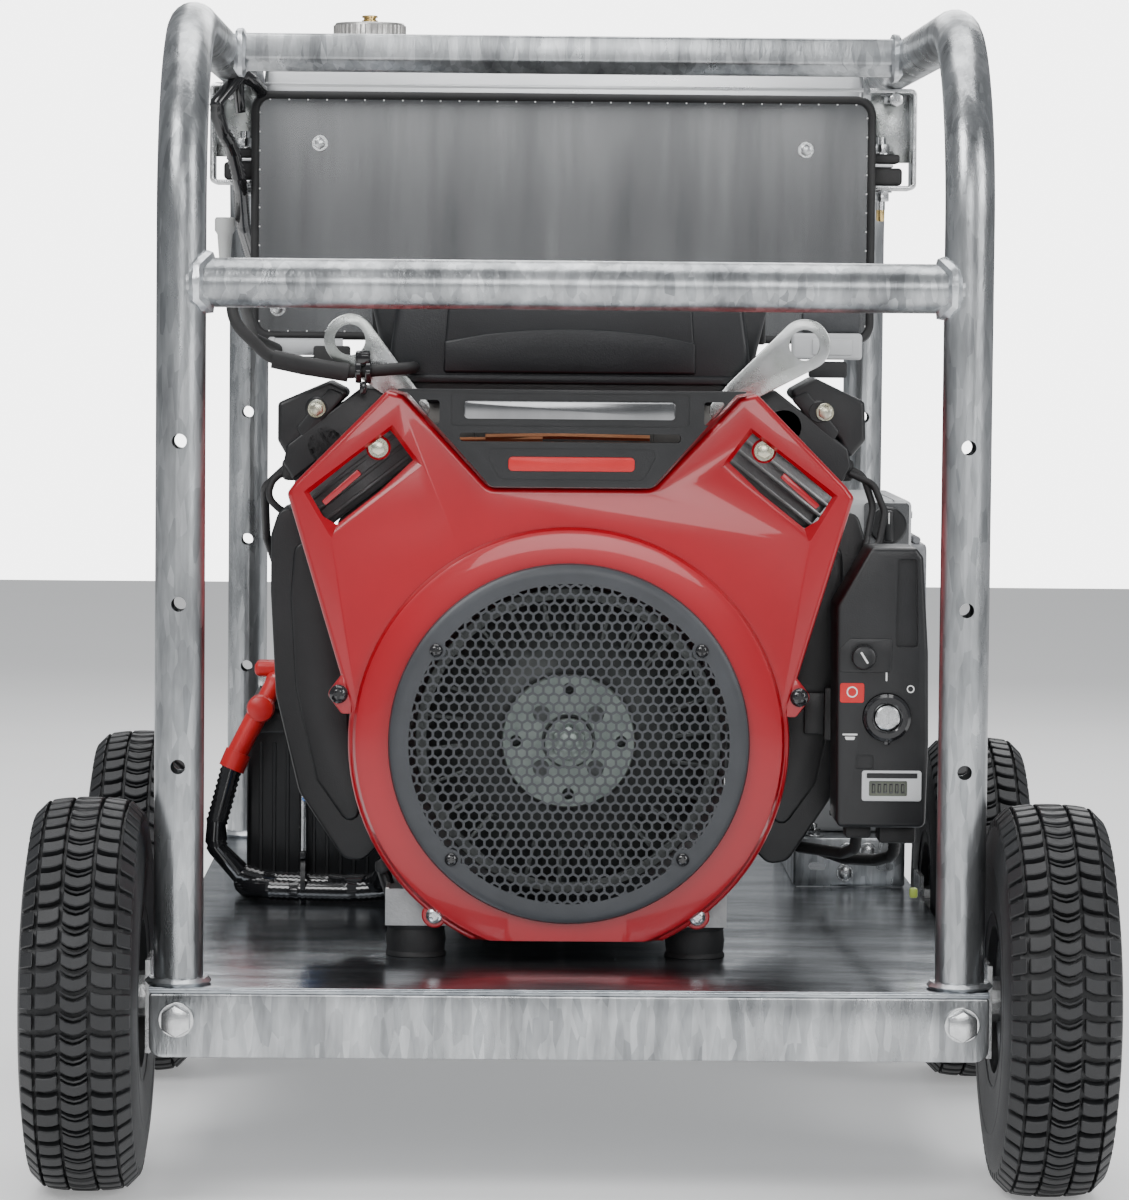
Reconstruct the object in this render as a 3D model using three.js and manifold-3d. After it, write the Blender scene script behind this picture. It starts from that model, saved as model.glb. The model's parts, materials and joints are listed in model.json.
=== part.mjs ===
// Portable generator: a V-twin engine and an alternator on a galvanised trolley frame.
// Millimetres, +Z up, the engine's fan side faces -Y. The origin is on the ground, under the middle.
import * as THREE from "three";
import { mergeVertices } from "three/addons/utils/BufferGeometryUtils.js";
import Module from "manifold-3d";

const wasm = await Module();
wasm.setup();

// ---------------------------------------------------------------- driving dimensions
// Every y below is measured back from the centre plane of the front legs, every z up from the ground.
const GAP = 0.3; // between two pieces that touch

// Frame tubes
const tubeDiameter = 33.7;
const tubeWall = 2.9;
const legSpacing = 530; // across the frame, centre to centre
const frameLength = 931; // front legs to rear legs, centre to centre
const hoopTop = 814;
const hoopBend = 135; // bend radius of the tube's centre line
const legHole = 10;
const legHolePitch = 109.5;
const legHoleCount = 3;
const lowestLegHole = 293;
const midRailHeight = 618.5;
const topRailY = 405;
const topRailHeight = 793.4;
const topRailDepth = 28;
const topRailTall = 28;
const topRailChamfer = 9;

// Deck and its channels
const deckTop = 144.5;
const deckSheet = 4;
const deckMargin = 1.65; // the deck's edge beyond the tubes
const beamTall = 43.3;
const beamFlange = 34;
const beamSheet = 4;
const beamOverhang = 21; // from the leg centres out to the beam's face

// Wheels
const tyreRadius = 134;
const tyreWidth = 79;
const tyreGap = 4; // between the deck's edge and the tyre
const tyreWall = 8;
const sideWallTall = 34; // from the tread's edge in to the fullest part of the side
const treadShoulder = 12;
const treadCrown = 2; // how far the tread's middle stands above its edges
const treadEdge = 14;
const shoulderIn = 3;
const innerShoulder = 30;
const beadLip = 2;
const rimRadius = 50;
const rimWidth = 60;
const rimSheet = 3;
const hubRadius = 18;
const axleRadius = 10;
const axleClearance = 0.4;
const axlePlate = 3.4;
const axlePlateWide = 50;
const axlePlateRise = 20; // above the top of the channels
const axleEnd = 9; // past the hub
const axleNut = 7;
const frontAxleY = 23;
const rearAxleY = 549;

// Engine
const crankHeight = 300;
const fanFaceY = 105; // front face of the fan shroud
const shroudDepth = 100;
const shroudSheet = 3;
const shroudRing = 154.5; // radius of the round lower part
const shroudFlat = 139.1; // from the crank down to the flat bottom edge
const shroudWaist = 12; // degrees above level, where the round part meets the straight side
const shoulderX = 198;
const shoulderZ = 181;
const shroudCorner = 8;
const tipX = 126;
const tipZ = 245;
const notchX = 57;
const notchZ = 178;
const tipPoint = 3; // the tip's outer point beyond tipX
const tipFlat = 9;
const shoulderFlat = 6;
const panelSheet = 14; // depth of the name panel
const panelLead = 2; // its face in front of the shroud's
const panelSlotWidth = 152;
const panelSlotUp = 211; // above the crank
const panelSlotTall = 6;
const fanOpening = 116;
const grilleRadius = 126.2;
const grilleThickness = 7;
const fanRadius = 108;
const bladeDepth = 34;
const bladeCount = 12;
const bladeLong = 26;
const bladeThick = 3;
const bladeLap = 4; // of a blade into the disc
const fanSetback = 22; // behind the shroud's face
const fanHubRadius = 34;
const fanHubFlat = 14;
const fanDiscStart = 34;
const fanDiscEnd = 40;
const shaftRadius = 17;
const shaftClearance = 0.8;
const blockFrontY = 212;
const blockDepth = 218;
const blockReach = 111.7; // crank to the cylinder joint faces
const jointFaceHalf = 60;
const blockFootHalf = 112;
const sumpDrop = 105; // below the crank
const footArmTall = 26;
const footPostDeep = 40;
const footPostLap = 10; // of a post into the sump
const cylinderTilt = 38; // degrees from upright
const cylinderLength = 150;
const cylinderWidth = 100;
const cylinderDepth = 110;
const cylinderStagger = 25;
const finCount = 6;
const finStart = 8; // from the joint face
const headTall = 40;
const barrelInset = 6; // of the barrel behind the fins' edges, front and back
const barrelHalf = 42;
const barrelShort = 10; // of the barrel under the head's top
const rockerTall = 23;
const rockerWidth = 92;
const rockerCorner = 8;
const cleanerWidth = 262;
const cleanerBottom = 551;
const cleanerTall = 82;
const cleanerFrontY = 216;
const cleanerDepth = 185;
const cleanerWaist = 6; // its sides go in this far above the foot,
const cleanerWaistUp = 27;
const cleanerWing = 12; // then out this far
const cleanerWingUp = 55;
const cleanerShoulder = 30;
const sideShroudDepth = 84;
const sideShroudGap = 1; // beside the cylinder's fins
// The side shroud's outer edge, up from its foot, as x and height from the crank.
const sideShroudEdge = [
  [152, -93],
  [192, -45],
  [209, 25],
  [213, 98],
  [213, 140],
];
const sideShroudFoot = -70; // its inner lower corner's height from the crank
const eyeRing = 18.5;
const eyeHole = 11;
const eyeSheet = 6;
const eyeArm = 26;
const eyeBoss = 10;
const eyePlaces = { left: [-157.5, 579.5], right: [168, 578.5] };
const eyeFootDrop = 18; // the arm's foot below the head's top
const eyeFootIn = 14; // and in from its upper edge
const mountRadius = 21.5;
const mountTall = 22.5;
const frontMountY = 158;
const leftMountX = -106.5;
const rightMountX = 91.5;
const filterRadius = 30;
const filterLength = 80;
const filterX = -116; // its open end
const filterDrop = 34; // below the crank
const filterLead = 4; // behind the side shroud
const mufflerRadius = 56;
const mufflerLength = 300;
const mufflerSheet = 2.5;
const tailRadius = 14;
const mufflerY = 505;
const exhaustRadius = 15;
const exhaustX = 118;
const exhaustDrop = 18; // below the muffler's middle
const mufflerClear = 10; // above the alternator
const tailLength = 34;
const tailLap = 2;

// Controls
const controlGap = 0.6; // between the shroud's side and the control box
const controlWidth = 66.5;
const controlBottom = 240;
const controlTall = 198;
const controlFrontY = 125;
const controlDepth = 68;
const chokeAcross = 19.5; // from the control box's left side
const chokeUp = 121; // from its bottom
const chokeRadius = 8.5;
const chokeRod = 4;
const chokeTravel = 20;
const keyAcross = 36.5;
const keyUp = 78.5;
const keyRadius = 9;
const keyStand = 7; // proud of the box
const keyLength = 26;
const keySlot = [2.4, 10];
const knobStand = 1;
const knobLength = 10;
const controlCorner = 9;
const controlClearance = 0.5;

// Alternator
const alternatorRadius = 117;
const alternatorLength = 362;
const alternatorWall = 22;
const bellLength = 58;
const bellWall = 4;
const bellChamfer = 26;
const bellFlat = 18;
const flangeTall = 10;
const footWebHalf = 80;
const footWebDrop = 60; // below the crank
const rotorRadius = 84;
const rotorStart = 40; // into the case
const rotorEnd = 50; // short of the case's end
const rotorTaper = 4;
const shaftNose = 3; // taken off the shaft's front end
const shaftLead = 12; // the shaft's front end behind the shroud's face
const shaftShort = 12; // its back end inside the end bell
const alternatorFootWidth = 230;
const alternatorFootY = 700;
const alternatorFootDepth = 60;

// Electrics
const batteryWidth = 118;
const batteryDepth = 197;
const batteryTall = 155;
const lidTall = 12;
const lidInset = 3;
const terminalSide = 22;
const terminalTall = 22;
const terminalIn = [10, 24];
const batteryLeft = -245;
const batteryFrontY = 515;
const conduitDiameter = 18;
const panelLeft = 190;
const panelWidth = 93;
const panelRearClear = 81; // from the rear legs' centres to the box
const panelDepth = 228;
const panelTall = 268;
const footLead = 40; // the foot bracket in front of the box
const footTall = 39;
const footSheet = 3;
const footInset = 2; // its front edges beside the box's side
const socketRadius = 24;
const socketDepth = 30;
const socketAlong = 90; // from the box's front
const socketZ = 372;
const coverSide = 86;
const coverDeep = 16;
const coverSheet = 3;
const coverCorner = 8;
const breakerRadius = 15;
const breakerDepth = 16;
const breakerGap = 1;
const breakerPin = 4;
const breakerPinLong = 14;
const gripThick = 8;
const gripTall = 26;
const gripStand = 8; // in front of the disc
const breakerX = 262;
const breakerZ = 432;

// Fuel
const tankWidth = 476;
const tankDepth = 274;
const tankRearClear = 51; // from the rear legs' centres to the tank
const tankBottom = 600;
const tankTall = 206;
const tankSheet = 3;
const tankCorner = 22;
const earGap = 2; // its end to the hoop's centre plane
const earUp = 15; // above the C brackets' lower flange
const earBack = 6;
const earDepth = 26;
const earSheet = 3;
const neckX = -157;
const neckAlong = 94; // from the tank's front
const neckRadius = 24;
const neckBore = 20;
const neckTall = 20;
const neckFlange = 34; // the welding flange at its foot
const neckFlangeTall = 3;
const gasketTall = 3;
const capRadius = 29.5;
const capSheet = 3.2;
const capSkirt = 15;
const capEdge = 1.5;
const gasketLip = 2; // beyond the neck
const ventRadius = 6.5;
const ventTall = 6.5;
const shieldWidth = 494.5;
const shieldBottom = 577;
const shieldTall = 196;
const shieldSheet = 2;
const shieldCorner = 12;
const shieldGap = 4; // between the shield and the tank
const bracketWidth = 38;
const bracketTall = 80.5;
const bracketDepth = 38;
const bracketSheet = 3.5;
const bracketOut = 16; // past the hoop's centre plane
const hoseDiameter = 9;

// ---------------------------------------------------------------- places worked out from them
const tubeRadius = tubeDiameter / 2;
const legX = legSpacing / 2;
const topTubeZ = hoopTop - tubeRadius;
const deckEdge = legX + tubeRadius + deckMargin;
const deckWidth = 2 * deckEdge;
const beamTop = deckTop - deckSheet - GAP;
const frontFaceY = -beamOverhang;
const rearFaceY = frameLength + beamOverhang;
const tyreInnerX = deckEdge + tyreGap;
const axleZ = tyreRadius;
const shroudBackY = fanFaceY + shroudDepth;
const blockBackY = blockFrontY + blockDepth;
const cylinderFar = blockReach + GAP + cylinderLength;
const alternatorBackY = blockBackY + GAP + alternatorLength;
const mountTop = deckTop + GAP + mountTall;
const tankTop = tankBottom + tankTall;
const neckTop = tankTop + neckTall;
const panelBottom = deckTop + GAP + footTall + GAP;
const panelSideX = panelLeft + panelWidth;
const panelFrontY = frameLength - panelRearClear - panelDepth;
const footFrontY = panelFrontY - footLead;
const socketY = panelFrontY + socketAlong;
const tankFrontY = frameLength - tankRearClear - tankDepth;
const neckY = tankFrontY + neckAlong;
const frameMiddleY = (frontAxleY - tyreRadius + rearFaceY) / 2;

// ---------------------------------------------------------------- finishes
const paint = (color, roughness, metalness) =>
  new THREE.MeshStandardMaterial({ color, roughness, metalness });
const galvanised = paint(0xb9bdc0, 0.45, 0.8);
const castAluminium = paint(0x9da0a2, 0.5, 0.7);
const brightSteel = paint(0xc6c8c9, 0.3, 0.9);
const stainless = paint(0x9a9c9e, 0.2, 0.9);
const redPaint = paint(0xb5121b, 0.25, 0.1);
const bluePaint = paint(0x2f6fb5, 0.35, 0.1);
const blackPlastic = paint(0x1c1d1f, 0.5, 0);
const greyPlastic = paint(0xc9ccce, 0.5, 0);
const darkSteel = paint(0x4a4b4d, 0.5, 0.7);
const blackRubber = paint(0x161616, 0.8, 0);
const tyreRubber = paint(0x232325, 0.85, 0);
const greyCasting = paint(0x55585b, 0.55, 0.4);

// ---------------------------------------------------------------- solid helpers
function solidOf(geometry) {
  const bare = geometry.clone();
  bare.deleteAttribute("normal");
  bare.deleteAttribute("uv");
  const merged = mergeVertices(bare, 1e-4);
  return new wasm.Manifold(
    new wasm.Mesh({
      numProp: 3,
      vertProperties: new Float32Array(merged.attributes.position.array),
      triVerts: new Uint32Array(merged.index.array),
    }),
  );
}

function geometryOf(solid) {
  const mesh = solid.getMesh();
  const geometry = new THREE.BufferGeometry();
  geometry.setAttribute("position", new THREE.BufferAttribute(mesh.vertProperties, 3));
  geometry.setIndex(new THREE.BufferAttribute(mesh.triVerts, 1));
  return geometry;
}

const join = (...pieces) => geometryOf(pieces.map(solidOf).reduce((all, next) => all.add(next)));
const cut = (piece, ...tools) =>
  geometryOf(tools.map(solidOf).reduce((left, tool) => left.subtract(tool), solidOf(piece)));

// A box from its low corner and its size.
function block(x, y, z, width, depth, tall) {
  return new THREE.BoxGeometry(width, depth, tall).translate(
    x + width / 2,
    y + depth / 2,
    z + tall / 2,
  );
}

// A round bar along an axis, from its start point; a negative length runs the other way.
function bar(axis, radius, length, x, y, z, sides = 20) {
  const bare = new THREE.CylinderGeometry(radius, radius, Math.abs(length), sides);
  bare.translate(0, length / 2, 0);
  if (axis === "x") bare.rotateZ(-Math.PI / 2);
  if (axis === "z") bare.rotateX(Math.PI / 2);
  return bare.translate(x, y, z);
}

// A profile of [radius, distance] points turned about the y axis through x, z.
function turnedAlongY(profile, x, y, z, segments = 20) {
  const points = profile.map(([radius, along]) => new THREE.Vector2(radius, along));
  return new THREE.LatheGeometry(points, segments).translate(x, y, z);
}

// The same, about the x axis.
function turnedAlongX(profile, segments = 20) {
  const points = profile.map(([radius, along]) => new THREE.Vector2(radius, along));
  return new THREE.LatheGeometry(points, segments).rotateZ(-Math.PI / 2);
}

const shapeOf = (points) => new THREE.Shape(points.map(([a, b]) => new THREE.Vector2(a, b)));

// An [x, z] outline with its thickness along y, starting at y.
function uprightPlate(outline, y, thickness) {
  const bare = new THREE.ExtrudeGeometry(shapeOf(outline), { depth: thickness, bevelEnabled: false });
  return bare.rotateX(Math.PI / 2).translate(0, y + thickness, 0);
}

// A [y, z] outline with its thickness along x, starting at x.
function sidePlate(outline, x, thickness) {
  const bare = new THREE.ExtrudeGeometry(shapeOf(outline), { depth: thickness, bevelEnabled: false });
  bare.rotateX(Math.PI / 2).rotateZ(Math.PI / 2);
  return bare.translate(x, 0, 0);
}

// An outline moved inwards by a wall; the outline runs anticlockwise.
function inset(outline, wall) {
  const count = outline.length;
  return outline.map((point, i) => {
    const before = outline[(i + count - 1) % count];
    const after = outline[(i + 1) % count];
    const a = new THREE.Vector2(point[0] - before[0], point[1] - before[1]).normalize();
    const b = new THREE.Vector2(after[0] - point[0], after[1] - point[1]).normalize();
    const normal = new THREE.Vector2(-a.y - b.y, a.x + b.x).normalize();
    const reach = wall / Math.max(0.35, normal.dot(new THREE.Vector2(-a.y, a.x)));
    return [point[0] + normal.x * reach, point[1] + normal.y * reach];
  });
}

// Points on an arc, its angles in degrees.
function arc(x, z, radius, from, to, steps) {
  return Array.from({ length: steps + 1 }, (_, i) => {
    const angle = THREE.MathUtils.degToRad(from + ((to - from) * i) / steps);
    return [x + radius * Math.cos(angle), z + radius * Math.sin(angle)];
  });
}

// An outline of a rectangle with round corners, anticlockwise from its low corner.
function roundedRectangle(left, bottom, width, tall, radius, steps = 3) {
  const right = left + width - radius;
  const top = bottom + tall - radius;
  return [
    ...arc(left + radius, bottom + radius, radius, 180, 270, steps),
    ...arc(right, bottom + radius, radius, 270, 360, steps),
    ...arc(right, top, radius, 0, 90, steps),
    ...arc(left + radius, top, radius, 90, 180, steps),
  ];
}

// A left-hand copy of a right-hand shape.
function mirrored(geometry) {
  const copy = geometry.index ? geometry.toNonIndexed() : geometry.clone();
  const position = copy.attributes.position;
  for (let i = 0; i < position.count; i += 3) {
    const [a, b, c] = [0, 1, 2].map((k) => new THREE.Vector3().fromBufferAttribute(position, i + k));
    [a, c, b].forEach((p, k) => position.setXYZ(i + k, -p.x, p.y, p.z));
  }
  return copy;
}

// A path of straight runs joined by round bends, with one station at each end of a run.
class BentPath extends THREE.Curve {
  constructor(corners, radius, bendSteps) {
    super();
    const points = corners.map((corner) => new THREE.Vector3(...corner));
    this.stations = [];
    const add = (point, way) => this.stations.push({ point, way: way.clone().normalize() });
    add(points[0], points[1].clone().sub(points[0]));
    for (let i = 1; i < points.length - 1; i += 1) {
      const into = points[i].clone().sub(points[i - 1]).normalize();
      const out = points[i + 1].clone().sub(points[i]).normalize();
      const turn = into.angleTo(out);
      const back = radius * Math.tan(turn / 2);
      const start = points[i].clone().addScaledVector(into, -back);
      const side = out.clone().addScaledVector(into, -out.dot(into)).normalize();
      for (let step = 0; step <= bendSteps; step += 1) {
        const angle = (turn * step) / bendSteps;
        const point = start.clone().addScaledVector(into, radius * Math.sin(angle));
        point.addScaledVector(side, radius * (1 - Math.cos(angle)));
        const way = into.clone().multiplyScalar(Math.cos(angle));
        add(point, way.addScaledVector(side, Math.sin(angle)));
      }
    }
    add(points.at(-1), points.at(-1).clone().sub(points.at(-2)));
  }

  get steps() {
    return this.stations.length - 1;
  }

  at(u) {
    return this.stations[Math.round(u * this.steps)];
  }

  getPointAt(u, target = new THREE.Vector3()) {
    return target.copy(this.at(u).point);
  }

  getTangentAt(u, target = new THREE.Vector3()) {
    return target.copy(this.at(u).way);
  }
}

function tube(corners, bendRadius, outer, { bore = 0, sides = 12, bendSteps = 5 } = {}) {
  const path = new BentPath(corners, bendRadius, bendSteps);
  const section = shapeOf(arc(0, 0, outer, 0, 360, sides).slice(0, -1));
  if (bore) {
    const hole = arc(0, 0, bore, 0, 360, sides).slice(0, -1);
    section.holes.push(new THREE.Path(hole.map(([a, b]) => new THREE.Vector2(a, b))));
  }
  return new THREE.ExtrudeGeometry(section, { steps: path.steps, extrudePath: path });
}

// ---------------------------------------------------------------- the assembly
const generator = new THREE.Group();
generator.position.set(0, -frameMiddleY, 0);

function add(name, geometry, material, parent = generator) {
  const mesh = new THREE.Mesh(geometry, material);
  mesh.name = name;
  parent.add(mesh);
  return mesh;
}

const sides = [
  ["left", -1],
  ["right", 1],
];

// ---------------------------------------------------------------- frame
function addDeck() {
  const length = rearFaceY - frontFaceY;
  const sheet = block(-deckEdge, frontFaceY, deckTop - deckSheet, deckWidth, length, deckSheet);

  // The deck's sides are folded down and in under it, between the two channels.
  const foldStart = frontFaceY + beamFlange + GAP;
  const foldLength = length - 2 * (beamFlange + GAP);
  const fold = [
    [0, 0],
    [beamFlange, 0],
    [beamFlange, deckSheet],
    [deckSheet, deckSheet],
    [deckSheet, beamTall + GAP + deckSheet / 2],
    [0, beamTall + GAP + deckSheet / 2],
  ];
  const leftFold = uprightPlate(fold, foldStart, foldLength).translate(-deckEdge, 0, beamTop - beamTall);
  add("deck_plate", join(sheet, leftFold, mirrored(leftFold)), galvanised);

  // The front and rear channels open towards each other.
  const channel = [
    [0, 0],
    [beamFlange, 0],
    [beamFlange, beamSheet],
    [beamSheet, beamSheet],
    [beamSheet, beamTall - beamSheet],
    [beamFlange, beamTall - beamSheet],
    [beamFlange, beamTall],
    [0, beamTall],
  ];
  const beam = () => sidePlate(channel, -deckEdge, deckWidth);
  add("front_beam", beam().translate(0, frontFaceY, beamTop - beamTall), galvanised);
  const rear = beam().rotateZ(Math.PI).translate(0, rearFaceY, beamTop - beamTall);
  add("rear_beam", rear, galvanised);
}

function addHoops() {
  const foot = deckTop + GAP;
  const corners = [
    [0, 0, foot],
    [0, 0, topTubeZ],
    [0, frameLength, topTubeZ],
    [0, frameLength, foot],
  ];
  const bore = tubeRadius - tubeWall;
  const holes = [];
  for (let i = 0; i < legHoleCount; i += 1) {
    for (const legY of [0, frameLength]) {
      const start = legY - tubeDiameter;
      const height = lowestLegHole + i * legHolePitch;
      holes.push(bar("y", legHole / 2, 2 * tubeDiameter, 0, start, height, 8));
    }
  }
  for (const [side, sign] of sides) {
    const hoop = cut(tube(corners, hoopBend, tubeRadius, { bore }), ...holes);
    add(`${side}_hoop`, hoop, galvanised).position.x = sign * legX;
  }
}

// A cross rail is coped round the tubes at its ends.
function addCrossRails() {
  const copeRadius = tubeRadius + GAP;
  const legs = (y, z) => sides.map(([, sign]) => bar("z", copeRadius, 200, sign * legX, y, z - 100));
  for (const [name, y] of [
    ["front_mid_rail", 0],
    ["rear_mid_rail", frameLength],
  ]) {
    const length = legSpacing - tubeRadius;
    const rail = tube(
      [
        [-length / 2, y, midRailHeight],
        [length / 2, y, midRailHeight],
      ],
      1,
      tubeRadius,
      { bore: tubeRadius - tubeWall },
    );
    add(name, cut(rail, ...legs(y, midRailHeight)), galvanised);
  }

  const half = topRailDepth / 2;
  const low = topRailHeight - topRailTall / 2;
  const high = topRailHeight + topRailTall / 2;
  const c = topRailChamfer;
  const section = [
    [-half + c, low],
    [half - c, low],
    [half, low + c],
    [half, high],
    [-half, high],
    [-half, low + c],
  ];
  const length = legSpacing - tubeRadius;
  const bare = sidePlate(section, -length / 2, length).translate(0, topRailY, 0);
  const copes = sides.map(([, sign]) =>
    bar("y", copeRadius, 200, sign * legX, topRailY - 100, topTubeZ),
  );
  add("top_front_rail", cut(bare, ...copes), galvanised);
}

// ---------------------------------------------------------------- wheels
function addWheels() {
  const half = tyreWidth / 2;
  const bead = rimWidth / 2;
  const seat = rimRadius + GAP;
  const tyre = [
    [seat, -bead + beadLip],
    [seat, -bead - tyreWall + beadLip],
    [tyreRadius - sideWallTall, -half],
    [tyreRadius - treadShoulder, -half + shoulderIn],
    [tyreRadius - treadCrown, -half + treadEdge],
    [tyreRadius, 0],
    [tyreRadius - treadCrown, half - treadEdge],
    [tyreRadius - treadShoulder, half - shoulderIn],
    [tyreRadius - sideWallTall, half],
    [seat, bead + tyreWall - beadLip],
    [seat, bead - beadLip],
    [tyreRadius - innerShoulder, half - tyreWall],
    [tyreRadius - 2 * tyreWall, half - 2 * tyreWall],
    [tyreRadius - 2 * tyreWall, -half + 2 * tyreWall],
    [tyreRadius - innerShoulder, -half + tyreWall],
    [seat, -bead + beadLip],
  ];
  const bore = axleRadius + axleClearance;
  const rim = [
    [bore, -bead],
    [hubRadius, -bead],
    [hubRadius, -rimSheet],
    [rimRadius - rimSheet, -rimSheet],
    [rimRadius - rimSheet, -bead],
    [rimRadius, -bead],
    [rimRadius, bead],
    [rimRadius - rimSheet, bead],
    [rimRadius - rimSheet, rimSheet],
    [hubRadius, rimSheet],
    [hubRadius, bead],
    [bore, bead],
    [bore, -bead],
  ];
  const plateLow = beamTop - beamTall - axleZ;
  const plateTall = axlePlateRise + beamTall;
  const wheelX = tyreInnerX + half;
  const hubEnd = wheelX + bead;
  for (const [place, axleY] of [
    ["front", frontAxleY],
    ["rear", rearAxleY],
  ]) {
    for (const [side, sign] of sides) {
      const plateStart = deckEdge + GAP;
      const plate = block(plateStart, -axlePlateWide / 2, plateLow, axlePlate, axlePlateWide, plateTall);
      const pin = bar("x", axleRadius, hubEnd + axleEnd - plateStart, plateStart, 0, 0, 12);
      const shoulder = bar("x", hubRadius - 2, wheelX - bead - GAP - plateStart, plateStart, 0, 0, 12);
      const nut = bar("x", hubRadius - 3, axleNut, hubEnd + GAP, 0, 0, 6);
      const axle = join(plate, pin, shoulder, nut);
      const turned = sign < 0 ? axle.rotateZ(Math.PI) : axle;
      add(`${place}_${side}_axle`, turned, brightSteel).position.set(0, axleY, axleZ);
      const wheel = new THREE.Group();
      wheel.position.set(sign * wheelX, axleY, axleZ);
      generator.add(wheel);
      add(`${place}_${side}_tyre`, turnedAlongX(tyre), tyreRubber, wheel);
      add(`${place}_${side}_rim`, turnedAlongX(rim), brightSteel, wheel);
    }
  }
}

// ---------------------------------------------------------------- engine
// The cylinders lean out from the crank in a V; this places a shape that stands on the joint face.
const lean = THREE.MathUtils.degToRad(cylinderTilt);
function leaned(geometry, sign) {
  return geometry.rotateY(sign * lean).translate(0, 0, crankHeight);
}

// Where a point at a reach along the cylinder and a step across it lies, as [x, z].
function cylinderPoint(sign, reach, across) {
  const x = sign * (reach * Math.sin(lean) + across * Math.cos(lean));
  return [x, crankHeight + reach * Math.cos(lean) - across * Math.sin(lean)];
}

const cylinderFrontY = (sign) => blockFrontY + GAP + (sign > 0 ? cylinderStagger : 0);

function addEngineBlock() {
  const sump = crankHeight - sumpDrop;
  const outline = [
    [-blockFootHalf, sump],
    [blockFootHalf, sump],
    cylinderPoint(1, blockReach, jointFaceHalf + 2 * GAP),
    cylinderPoint(1, blockReach, -jointFaceHalf),
    cylinderPoint(-1, blockReach, -jointFaceHalf),
    cylinderPoint(-1, blockReach, jointFaceHalf + 2 * GAP),
  ];
  const body = uprightPlate(outline, blockFrontY, blockDepth);
  const armY = frontMountY - mountRadius;
  const armDepth = blockFrontY + footPostDeep - armY;
  const feet = [leftMountX, rightMountX].map((x) =>
    block(x - mountRadius, armY, mountTop + GAP, 2 * mountRadius, armDepth, footArmTall),
  );
  const postTall = sump + footPostLap - mountTop - GAP;
  const posts = [leftMountX, rightMountX].map((x) =>
    block(x - mountRadius, blockFrontY, mountTop + GAP, 2 * mountRadius, footPostDeep, postTall),
  );
  const boreRadius = shaftRadius + shaftClearance;
  const bore = bar("y", boreRadius, blockDepth + 20, 0, blockFrontY - 10, crankHeight);
  add("engine_block", cut(join(body, ...feet, ...posts), bore), castAluminium);
}

function addCylinders() {
  const base = blockReach + GAP;
  const finPitch = (cylinderLength - headTall) / finCount;
  for (const [side, sign] of sides) {
    const y = cylinderFrontY(sign);
    const coreDepth = cylinderDepth - 2 * barrelInset;
    const coreLength = cylinderLength - barrelShort;
    const core = block(-barrelHalf, y + barrelInset, base, 2 * barrelHalf, coreDepth, coreLength);
    const halfWidth = cylinderWidth / 2;
    const fins = Array.from({ length: finCount }, (_, i) =>
      block(-halfWidth, y, base + finStart + i * finPitch, cylinderWidth, cylinderDepth, finPitch / 2),
    );
    const headStart = base + cylinderLength - headTall;
    const head = block(-halfWidth, y, headStart, cylinderWidth, cylinderDepth, headTall);
    add(`${side}_cylinder`, leaned(join(core, ...fins, head), sign), castAluminium);

    const outline = roundedRectangle(-rockerWidth / 2, cylinderFar + GAP, rockerWidth, rockerTall, rockerCorner);
    const cover = uprightPlate(outline, y, cylinderDepth);
    add(`${side}_rocker_cover`, leaned(cover, sign), blackPlastic);
  }
}

// The red fan shroud is a shell that is open at the back.
const shroudFoot = THREE.MathUtils.radToDeg(Math.asin(shroudFlat / shroudRing));
const shroudOutline = [
  ...arc(0, crankHeight, shroudRing, -shroudFoot, shroudWaist, 8),
  [shoulderX, crankHeight + shoulderZ - shroudCorner],
  [shoulderX - shoulderFlat, crankHeight + shoulderZ],
  [tipX + tipPoint, crankHeight + tipZ],
  [tipX - tipFlat, crankHeight + tipZ - tipPoint],
  [notchX, crankHeight + notchZ],
  [-notchX, crankHeight + notchZ],
  [-tipX + tipFlat, crankHeight + tipZ - tipPoint],
  [-tipX - tipPoint, crankHeight + tipZ],
  [-shoulderX + shoulderFlat, crankHeight + shoulderZ],
  [-shoulderX, crankHeight + shoulderZ - shroudCorner],
  ...arc(0, crankHeight, shroudRing, 180 - shroudWaist, 180 + shroudFoot, 8),
];

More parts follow.
